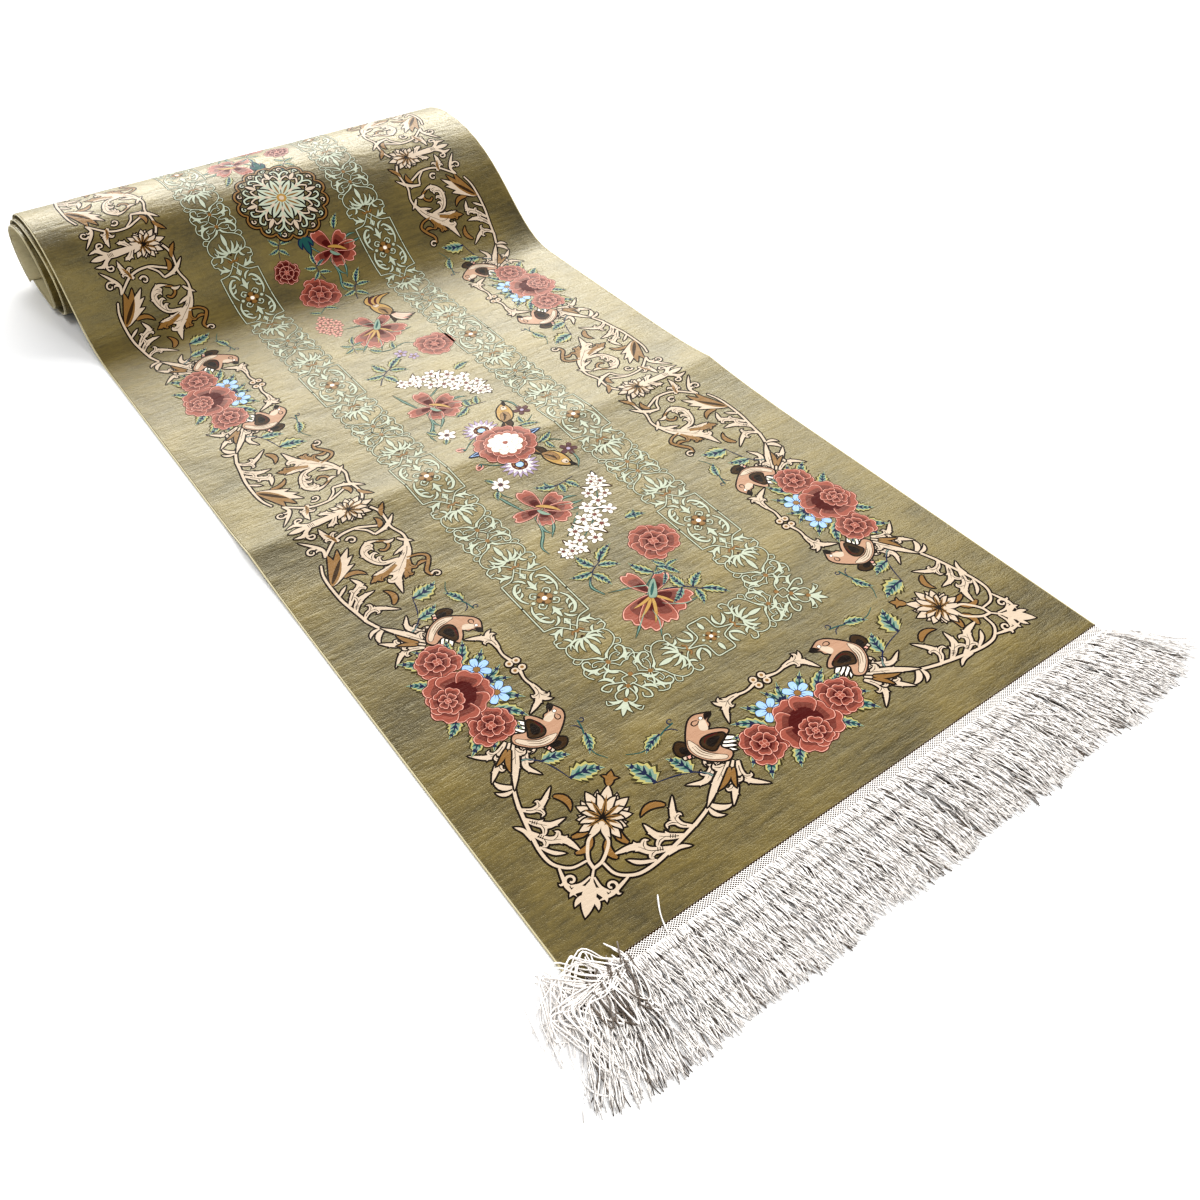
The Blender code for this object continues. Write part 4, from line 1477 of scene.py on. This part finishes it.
def medallion(pen):
    """A round of pale scrolls about a star of leaves, in a scalloped golden edge."""
    for k in range(16):
        rim = pen.moved(*turned(74, 0, 22.5 * k), 22.5 * k)
        rim.stroke([(-4, -14), (3, -9), (6, 0), (3, 9), (-4, 14)], (2.6, 3.6, 2.6), "ochre",
                   "walnut", 0.4)
        rim.curl(-4, 0, 4.6, -70, 320, (2.4, 1.4), "cream" if k % 2 else "mint")
    for k in range(8):
        part = pen.moved(0, 0, 45 * k)
        part.tear(7, 0, 44, 0, 12, 0, "mint", "walnut", 0.7)
        part.tear(10, 0, 34, 0, 3.4, 0, "ochre", None, 0.8)
        part.tear(46, 0, 66, 0, 7, 0, "cream", "walnut")
        for side in (1, -1):
            part.stroke([(8, 0), (24, side * 9), (40, side * 14), (52, side * 9), (48, side * 3)],
                        (2.2, 2.8, 3.2, 2.8, 1.6))
            part.stroke([(38, side * 14), (50, side * 20), (62, side * 17), (62, side * 9),
                         (56, side * 10)], (2.4, 3.4, 3.2, 2.6, 1.4), "mint")
            part.tear(26, side * 9, 40, side * 5, 5, side * 0.2, "mint", "walnut")
    pen.dot(0, 0, 9, "gold", "umber", 0.9)
    pen.dot(0, 0, 4.5, "cream", "umber", 0.92)
    for angle in (90, -90):
        top = pen.moved(0, 0, angle)
        top.tear(80, 0, 112, 0, 10, 0, "teal", "navy")
        top.tear(82, 0, 98, 10, 6, 0.2, "teal", "navy")
        top.tear(82, 0, 98, -10, 6, -0.2, "teal", "navy")


# ---------------------------------------------------------------- laying the pattern out

BOUQUET_STEP = 740.0  # from one bouquet on the long sides to the next
FIRST_BOUQUET = 370.0
BOUQUETS = 3  # on each side, before the pattern goes under the roll's outer turn
NEAR_STRETCH = 1.112  # how much longer the near side runs from its bouquet to the corner
BAND_U = 272.0  # the filigree band's middle, from the edge
BAND_V = 268.0
HALF_REPEAT = 148.0  # from the middle of one of its knots to the next cartouche's middle
REPEATS = 7
NEAR_KNOT = 107.0  # from the near band's middle to its knots
NEAR_SQUEEZE = 0.91  # how much shorter the near band's fans are
WIDE = RUG_WIDTH * FLAT_MM
FIELD_FOLD = BOUQUET_STEP  # how far up the rug the peony lies, on its fold
FIELD_CENTRE = 2 * BOUQUET_STEP  # and the medallion, at the middle of the rug
PEONY_ASIDE = 5.0  # how far the peony lies to the right of the middle


def drawn(*parts):
    """The parts drawn together on one new drawing, as triangles."""
    drawing = Drawing()
    for part in parts:
        part(drawing)
    return flattened(drawing)


def on_side(part, right, down, at):
    """A part drawn along a long side, set on that side: x runs up it, or `down` it."""
    along = -1.0 if down else 1.0
    if right:
        return placed(part, (WIDE, at), ((0, along), (-1, 0)))
    return placed(part, (0, at), ((0, along), (1, 0)))


def whole_corner(pen):
    """The corner and both arms that reach it, drawn on the flat rug itself."""
    down = pen.moved(0, 0)
    down.place = pen.place @ np.array([[0, 1, 0], [-1, 0, FIRST_BOUQUET], [0, 0, 1]])
    across = pen.moved(0, 0)
    across.place = pen.place @ np.array([[-NEAR_STRETCH, 0, WIDE / 2], [0, 1, 0], [0, 0, 1]])
    for arm in (down, across):
        border_start(arm)
        corner_arm(arm)
    corner_piece(pen)


def lay_border():
    """The outer border: both long sides with the corners, and the bouquet of the near end."""
    corner = drawn(whole_corner)
    scroll = drawn(border_start, border_scroll)
    flower = drawn(border_palmette)
    posy = drawn(bouquet)
    bouquets = [FIRST_BOUQUET + BOUQUET_STEP * k for k in range(BOUQUETS)]
    for right in (False, True):
        parts = [placed(corner, (WIDE, 0), MIRRORED) if right else placed(corner)]
        posies = []
        for at in bouquets:
            parts.append(on_side(scroll, right, False, at))
            if at != bouquets[0]:
                parts.append(on_side(scroll, right, True, at))
            posies.append(on_side(flower, right, False, at + BOUQUET_STEP / 2))
            posies.append(on_side(posy, right, False, at))
        edge = "right" if right else "left"
        lay_on_rug("border_scrolls_" + edge, parts, LOW_LAYER)
        lay_on_rug("border_bouquets_" + edge, posies, MIDDLE_LAYER)
    lay_on_rug("border_bouquet_near", [placed(posy, (WIDE / 2, 0))], MIDDLE_LAYER)


def near_band(pen):
    """The short filigree band across the near end, from its middle to both sides."""
    for side in both_hands(pen):
        for up in (1, -1):
            lace(side, [(0, 31 * up), (11, 31 * up), (14.5, 27 * up), (14.5, 10 * up),
                        (20, 5 * up), (30, 2 * up), (37, 0)], 1.6)
            lace_leaf(side, 22, 8 * up, 36, 24 * up, 5.5, -0.2 * up)
            lace_leaf(side, 22, 9 * up, 24, 27 * up, 5.0, 0.2 * up)
        fan = side.moved(0, 0)
        fan.place = side.place @ np.array([[0, -NEAR_SQUEEZE, NEAR_KNOT], [1, 0, 0], [0, 0, 1]])
        lace_fan(fan)
        lace_knot(fan)
    for up in (1, -1):
        lace_leaf(pen, 0, 14 * up, 0, 28 * up, 7.0)
    rosette(pen, 0, 0, 0.72)


def near_end(pen):
    """The near band, both corners and the first knots and fans, drawn on the flat rug itself."""
    near_band(pen.moved(WIDE / 2, BAND_V))
    for right in (False, True):
        corner = pen.moved(WIDE - BAND_U if right else BAND_U, BAND_V, flip=right)
        lace_corner(corner)
        half_repeat(corner.moved(0, 2 * HALF_REPEAT - BAND_V))


def lay_filigree():
    """The pale band between the border and the field, and the clasps on it."""
    half = drawn(half_repeat)
    stud = drawn(lambda pen: rosette(pen, 0, 0))
    studs = []
    for right in (False, True):
        u = WIDE - BAND_U if right else BAND_U
        parts = []
        for k in range(REPEATS):
            at = 2 * HALF_REPEAT * (k + 1)
            if k:
                parts += [placed(half, (u, at), along) for along in (UPRIGHT, UPSIDE_DOWN)]
            studs.append(placed(stud, (u, at + HALF_REPEAT)))
        lay_on_rug("filigree_band_" + ("right" if right else "left"), parts, LOW_LAYER)
    lay_on_rug("filigree_band_near", [placed(drawn(near_end))], LOW_LAYER)
    lay_on_rug("filigree_clasps", studs, MIDDLE_LAYER)


def lay_field():
    """The garden in the middle: flowers, the peony on the fold and the medallion."""
    near = drawn(field_flowers_near)
    heart = drawn(field_heart)
    middle = drawn(field_peony)
    far = drawn(field_flowers_far)
    disc = drawn(medallion)
    peony_at = (WIDE / 2 + PEONY_ASIDE, FIELD_FOLD)
    beyond = placed(far, (WIDE, 2 * FIELD_CENTRE), TURNED_ROUND)
    lay_on_rug("field_flowers", [placed(near), placed(far), beyond], LOW_LAYER)
    parts = [placed(heart, peony_at, along) for along in (UPRIGHT, UPSIDE_DOWN)]
    parts.append(placed(disc, (WIDE / 2, FIELD_CENTRE)))
    lay_on_rug("field_heart_and_medallion", parts, MIDDLE_LAYER)
    lay_on_rug("field_peony", [placed(middle, peony_at)], TOP_LAYER)


lay_border()
lay_filigree()
lay_field()


# ---------------------------------------------------------------- the fringe

NET_DEPTH = 0.0125  # of the knotted band, out from the rug's end
NET_ROWS = 4
NET_CELLS = 215  # in a row, from edge to edge
NET_TOP = FLOOR_Z + 0.0024
NET_CORD = 0.0006
NET_KNOT = 0.00062  # radius of a knot
STRANDS = 1450
STRAND_STEPS = 13
STRAND_RADIUS = 0.00092
STRAND_LENGTH = 0.114
STRAND_TWIST = 50.0  # degrees of ply twist from one step to the next
PLIES = 3
# How the strands lie across the rug: share of the width, degrees of lean towards the right.
COMBING = ((0.0, -38.0), (0.02, -24.0), (0.06, -6.0), (0.15, 4.0), (0.35, 8.0), (0.6, 13.0),
           (0.85, 19.0), (0.95, 26.0), (0.985, 32.0), (1.0, 36.0))


def twisted_tubes(name, lines, radius, shaded, twist=STRAND_TWIST):
    """Three-ply strands as one mesh: a turning triangle swept along each line. `shaded` says
    which of them take the darker yarn that paints shade among them."""
    places, faces, yarns = [], [], []
    first = 0
    for line, shade_painted in zip(lines, shaded):
        line = np.asarray(line, float)
        count = len(line)
        ahead = np.gradient(line, axis=0)
        ahead /= np.maximum(np.linalg.norm(ahead, axis=1), 1e-12)[:, None]
        side = np.cross(ahead, (0.0, 0.0, 1.0))
        side /= np.maximum(np.linalg.norm(side, axis=1), 1e-9)[:, None]
        up = np.cross(side, ahead)
        ends = (0, 1, count - 2, count - 1)
        slim = radius * np.interp(np.arange(count), ends, (0.8, 1.0, 1.0, 0.7))
        for ply in range(PLIES):
            turn = np.radians(360 / PLIES * ply + twist * np.arange(count))
            ring = side * np.cos(turn)[:, None] + up * np.sin(turn)[:, None]
            places.append(line + ring * slim[:, None])
        for k in range(count - 1):
            for ply in range(PLIES):
                a, b = first + ply * count + k, first + (ply + 1) % PLIES * count + k
                faces.append((a, a + 1, b + 1, b))
        faces.append((first, first + count, first + 2 * count))
        last = first + count - 1
        faces.append((last + 2 * count, last + count, last))
        yarns += [int(shade_painted)] * (PLIES * (count - 1) + 2)
        first += PLIES * count
    mesh = bpy.data.meshes.new(name)
    mesh.from_pydata(np.concatenate(places).tolist(), [], faces)
    mesh.materials.append(FRINGE_YARN)
    mesh.materials.append(SHADE_PAINTED_YARN)
    mesh.polygons.foreach_set("material_index", np.array(yarns, np.int32))
    mesh.shade_smooth()
    made = bpy.data.objects.new(name, mesh)
    bpy.context.scene.collection.objects.link(made)
    bm = bmesh.new()
    bm.from_mesh(mesh)
    bmesh.ops.recalc_face_normals(bm, faces=bm.faces)
    bm.to_mesh(mesh)
    bm.free()
    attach(made, "root")
    return made


def strand_line(rng, lean, length, start, height):
    """One strand's points: out from `start`, leaning, wavering, and settling to the floor."""
    s = np.linspace(0, 1, STRAND_STEPS)
    s[1:-1] += rng.uniform(-0.4, 0.4, STRAND_STEPS - 2) / STRAND_STEPS
    swing = rng.normal(0, 7)
    wave = (10 * np.sin(2 * math.pi * (s * rng.uniform(2.2, 4.2) + rng.random()))
            + 9 * np.sin(2 * math.pi * (s * rng.uniform(0.6, 1.5) + rng.random())))
    heading = np.radians(lean + swing * s * 2 + wave)
    step = length * np.diff(s)
    x = start[0] + np.concatenate([[0], np.cumsum(np.sin(heading[:-1]) * step)])
    y = start[1] - np.concatenate([[0], np.cumsum(np.cos(heading[:-1]) * step)])
    low = FLOOR_Z + STRAND_RADIUS
    bump = 0.0006 * np.sin(2 * math.pi * (s * rng.uniform(1.5, 4.0) + rng.random()))
    crest = rng.uniform(0.25, 0.75)
    z = low + height * np.interp(s, (0, crest * 0.5, crest, 1), (0.25, 0.8, 1, 0.02)) + np.abs(bump)
    z[0] = start[2]
    return np.stack([x, y, z], axis=1)


LOW_STRAND = 0.0030  # strands lower than this lie in the shade of the others, and this share of them takes the darker yarn, as painted shade
SHADE_PAINTED_SHARE = 0.45  # and this share of them is of the duller yarn


def build_strands():
    """The loose strands of the fringe, combed as they lie, from left to right."""
    rng = np.random.default_rng(11)
    shares, leans = zip(*COMBING)
    lines, shaded = [], []
    for k in range(STRANDS):
        share = (k + rng.random()) / STRANDS
        clump = 7 * math.sin(k * 0.131) + 5 * math.sin(k * 0.047 + 1.0)  # degrees
        lean = float(np.interp(share, shares, leans)) + clump + rng.normal(0, 5)
        length = STRAND_LENGTH * (0.94 + 0.10 * rng.random()) * (1 + 0.03 * math.sin(k * 0.021))
        start = (LEFT_EDGE + 0.001 + share * (RUG_WIDTH - 0.002), NEAR_EDGE - NET_DEPTH + 0.0006,
                 FLOOR_Z + 0.0012 + 0.0008 * rng.random())
        height = 0.0005 + 0.0078 * rng.random() ** 1.2
        lines.append(strand_line(rng, lean, length, start, height))
        # Low strands may take the darker yarn: painted shade under the others.
        shaded.append(height < LOW_STRAND and rng.random() < SHADE_PAINTED_SHARE)
    return twisted_tubes("fringe_strands", lines, STRAND_RADIUS, shaded)


TANGLE_STRANDS = 72
TANGLE_ROOTS = 0.060  # how far along the end from the corner they leave it
TANGLE_TWIST = 12.0
TANGLE_RADIUS = STRAND_RADIUS * 1.1
OVER_PILE = FLOOR_Z + CLOTH + 0.0014  # the lowest that a strand over the rug may lie
# The three ways in which they lie, in turn. Each has its middle's place from its root and its
# end's place, as (x, y) and how far that may wander; the last one's end is from its root too.
TANGLE_WAYS = (
    (((-0.020, 0.022), (-0.026, 0.020)), ((-0.058, -0.012), (0.046, -0.050))),  # back over the corner
    (((-0.030, -0.014), (-0.018, 0.012)), ((-0.036, -0.085), (0.036, -0.022))),  # a sweep to the left
    (((-0.022, -0.040), (0.030, -0.020)), ((-0.024, 0.002), (0.050, 0.028))),  # a curl back to the rug
)
STRAY = ((0.106, -0.010), (0.110, 0.002), (0.115, 0.014), (0.124, 0.028))  # from the corner


def build_tangle():
    """The loose curls at the left corner, and the one strand that lies back over the pile."""
    rng = np.random.default_rng(5)
    lines = []
    for k in range(TANGLE_STRANDS):
        root = np.array([0.001 + TANGLE_ROOTS * rng.random(), -NET_DEPTH])
        (middle, middle_reach), (end, end_reach) = np.array(TANGLE_WAYS[k % 3])
        middle = root + (middle + middle_reach * rng.random(2))
        end = end + end_reach * rng.random(2)
        if k % 3 == 2:
            end = root + end
        bow = middle + (end - middle) * 0.5 + rng.normal(0, 0.009, 2)
        knee = (root + middle) / 2 + rng.normal(0, 0.005, 2)
        flat = smooth([root, knee, middle, bow, end], fine=6)
        share = np.linspace(0, 1, len(flat))
        over_rug = (flat[:, 0] > -0.003) & (flat[:, 1] > -0.014)
        arch = 0.012 * (0.3 + 0.7 * rng.random())
        z = FLOOR_Z + 0.0014 + arch * np.sin(math.pi * np.minimum(share + 0.08, 1))
        z = np.where(over_rug, np.maximum(z, OVER_PILE + 0.0006 * (k % 6)), z)
        lines.append(np.stack([LEFT_EDGE + flat[:, 0], NEAR_EDGE + flat[:, 1], z], axis=1))
    stray = smooth(STRAY, fine=5)
    height = np.full(len(stray), FLOOR_Z + CLOTH + 0.0010)
    lines.append(np.stack([LEFT_EDGE + stray[:, 0], NEAR_EDGE + stray[:, 1], height], axis=1))
    # Every sixth strand takes the darker yarn, as painted shade in the tangle.
    shaded = [k % 6 == 5 for k in range(len(lines))]
    return twisted_tubes("fringe_corner_tangle", lines, TANGLE_RADIUS, shaded, TANGLE_TWIST)


def build_net():
    """The knotted band between the pile and the loose strands: one crossing, arrayed."""
    wide, deep = RUG_WIDTH / NET_CELLS, NET_DEPTH / NET_ROWS
    left = LEFT_EDGE + wide / 2
    near = NEAR_EDGE - deep / 2
    deselect()
    parts = []
    for hand in (1, -1):
        bpy.ops.mesh.primitive_cube_add(size=1.0, location=(0, 0, 0))
        cord = bpy.context.object
        cord.scale = (math.hypot(wide, deep), NET_CORD, NET_CORD)
        cord.rotation_euler = (0, 0, hand * math.atan2(deep, wide))
        cord.location = (left, near, NET_TOP - NET_CORD / 2 + hand * NET_CORD / 3)
        parts.append(cord)
    place = (left, near, NET_TOP)
    bpy.ops.mesh.primitive_ico_sphere_add(subdivisions=1, radius=NET_KNOT, location=place)
    parts.append(bpy.context.object)
    bpy.ops.object.select_all(action="DESELECT")
    for part in parts:
        part.select_set(True)
    bpy.context.view_layer.objects.active = parts[0]
    bpy.ops.object.transform_apply(location=True, rotation=True, scale=True)
    bpy.ops.object.join()
    net = parts[0]
    net.name = "fringe_net"
    for name, count, step in (("across", NET_CELLS, (wide, 0, 0)), ("rows", NET_ROWS, (0, -deep, 0))):
        array = net.modifiers.new(name, "ARRAY")
        array.count = count
        array.use_relative_offset = False
        array.use_constant_offset = True
        array.constant_offset_displace = step
        bpy.ops.object.modifier_apply(modifier=name)
    net.data.materials.clear()
    net.data.materials.append(FRINGE_YARN)
    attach(net, "root")
    deselect()
    return net


PILE_STOP = NEAR_EDGE - 0.0002  # where the bare weave under the pile begins


def end_slab(name, near, low, high, material):
    """A flat bar across the rug's end, from `near` to the pile."""
    bpy.ops.mesh.primitive_cube_add(size=1.0, location=(0, 0, 0))
    slab = bpy.context.object
    slab.name = name
    slab.scale = (RUG_WIDTH - 0.002, PILE_STOP - near, high - low)
    slab.location = (LEFT_EDGE + RUG_WIDTH / 2, (near + PILE_STOP) / 2, (low + high) / 2)
    bpy.ops.object.transform_apply(location=True, rotation=True, scale=True)
    slab.data.materials.append(material)
    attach(slab, "root")
    deselect()
    return slab


def build_heading():
    """The flat woven heading under the net, near black as painted shade in its holes, and the dark line
    where the pile stops.
    """
    return [
        end_slab("fringe_heading", NEAR_EDGE - NET_DEPTH, FLOOR_Z, NET_TOP - 0.0011, HEADING_SHADE_PAINT),
        end_slab("pile_end_line", NEAR_EDGE - 0.0013, NET_TOP - 0.0010, FLOOR_Z + CLOTH + 0.0003,
                 DYED["umber"]),
    ]


fringe_pieces = [build_strands(), build_tangle(), build_net(), *build_heading()]
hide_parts("fringe")

# ---------------------------------------------------------------- stage

CAMERA_PLACE = (-0.269, -0.400, 0.996)  # from the rug's near left corner
CAMERA_DOWN = 44.89  # degrees below level
CAMERA_HEADING = 36.70  # degrees to the right of straight along the rug
CAMERA_ROLL = 0.29
CAMERA_LENS = 33.2
FLOOR_SIZE = 40.0
FLOOR_DROP = 0.0005  # the floor lies this far under the rug's underside
PALE = 0.86
WORLD_STRENGTH = 0.46
# Soft lamps: where each stands, where it points, its width and height, and its power.
LAMPS = {
    "window": ((1.7, 4.2, 2.2), (0.0, 0.4, 0.0), (4.4, 1.7), 265),
    "ceiling": ((-0.8, -0.6, 3.2), (0.0, -0.3, 0.0), (0.9, 0.9), 30),
    "front": ((0.5, -2.3, 1.9), (0.1, -0.88, 0.0), (0.7, 0.5), 30),
    "right": ((3.4, 1.8, 3.0), (0.2, -0.3, 0.0), (1.8, 1.8), 72),
}


def build_camera():
    """The camera, over the rug's near left corner."""
    data = bpy.data.cameras.new("camera")
    data.lens = CAMERA_LENS
    data.sensor_width = 36.0
    made = bpy.data.objects.new("camera", data)
    made.location = (LEFT_EDGE + CAMERA_PLACE[0], NEAR_EDGE + CAMERA_PLACE[1], CAMERA_PLACE[2])
    aim = Euler((math.radians(90 - CAMERA_DOWN), 0.0, math.radians(-CAMERA_HEADING))).to_matrix()
    roll = Euler((0, 0, math.radians(CAMERA_ROLL))).to_matrix()
    made.rotation_euler = (aim @ roll).to_euler()
    bpy.context.scene.collection.objects.link(made)
    bpy.context.scene.camera = made


def area_light(name, place, aim, size, power):
    """A rectangular lamp at `place` that points at `aim`."""
    data = bpy.data.lights.new(name, "AREA")
    data.shape = "RECTANGLE"
    data.size, data.size_y = size
    data.energy = power
    made = bpy.data.objects.new(name, data)
    made.location = place
    made.rotation_euler = (Vector(aim) - Vector(place)).to_track_quat("-Z", "Y").to_euler()
    bpy.context.scene.collection.objects.link(made)


def build_floor():
    """A plain pale floor, just under the rug."""
    bpy.ops.mesh.primitive_plane_add(size=FLOOR_SIZE, location=(0, 0, FLOOR_Z - FLOOR_DROP))
    floor = bpy.context.object
    floor.name = "floor"
    material = bpy.data.materials.new("pale floor")
    material.use_nodes = True
    shader = material.node_tree.nodes["Principled BSDF"]
    shader.inputs["Base Color"].default_value = (PALE, PALE, PALE, 1.0)
    shader.inputs["Roughness"].default_value = 0.9
    shader.inputs["Specular IOR Level"].default_value = 0.0
    floor.data.materials.append(material)
    deselect()


def build_stage():
    """The floor, the plain bright surroundings and the lamps."""
    build_floor()
    world = bpy.data.worlds.new("studio")
    world.use_nodes = True
    world.node_tree.nodes["Background"].inputs["Color"].default_value = (1.0, 1.0, 1.0, 1.0)
    world.node_tree.nodes["Background"].inputs["Strength"].default_value = WORLD_STRENGTH
    bpy.context.scene.world = world
    for name, lamp in LAMPS.items():
        area_light(name, *lamp)
    bpy.context.scene.view_settings.view_transform = "Standard"
    bpy.context.scene.view_settings.look = "Medium High Contrast"


build_camera()
build_stage()

for name in ("edge_cord_left", "edge_cord_right"):
    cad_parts[name].data.materials.clear()
    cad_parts[name].data.materials.append(CORD_YARN)
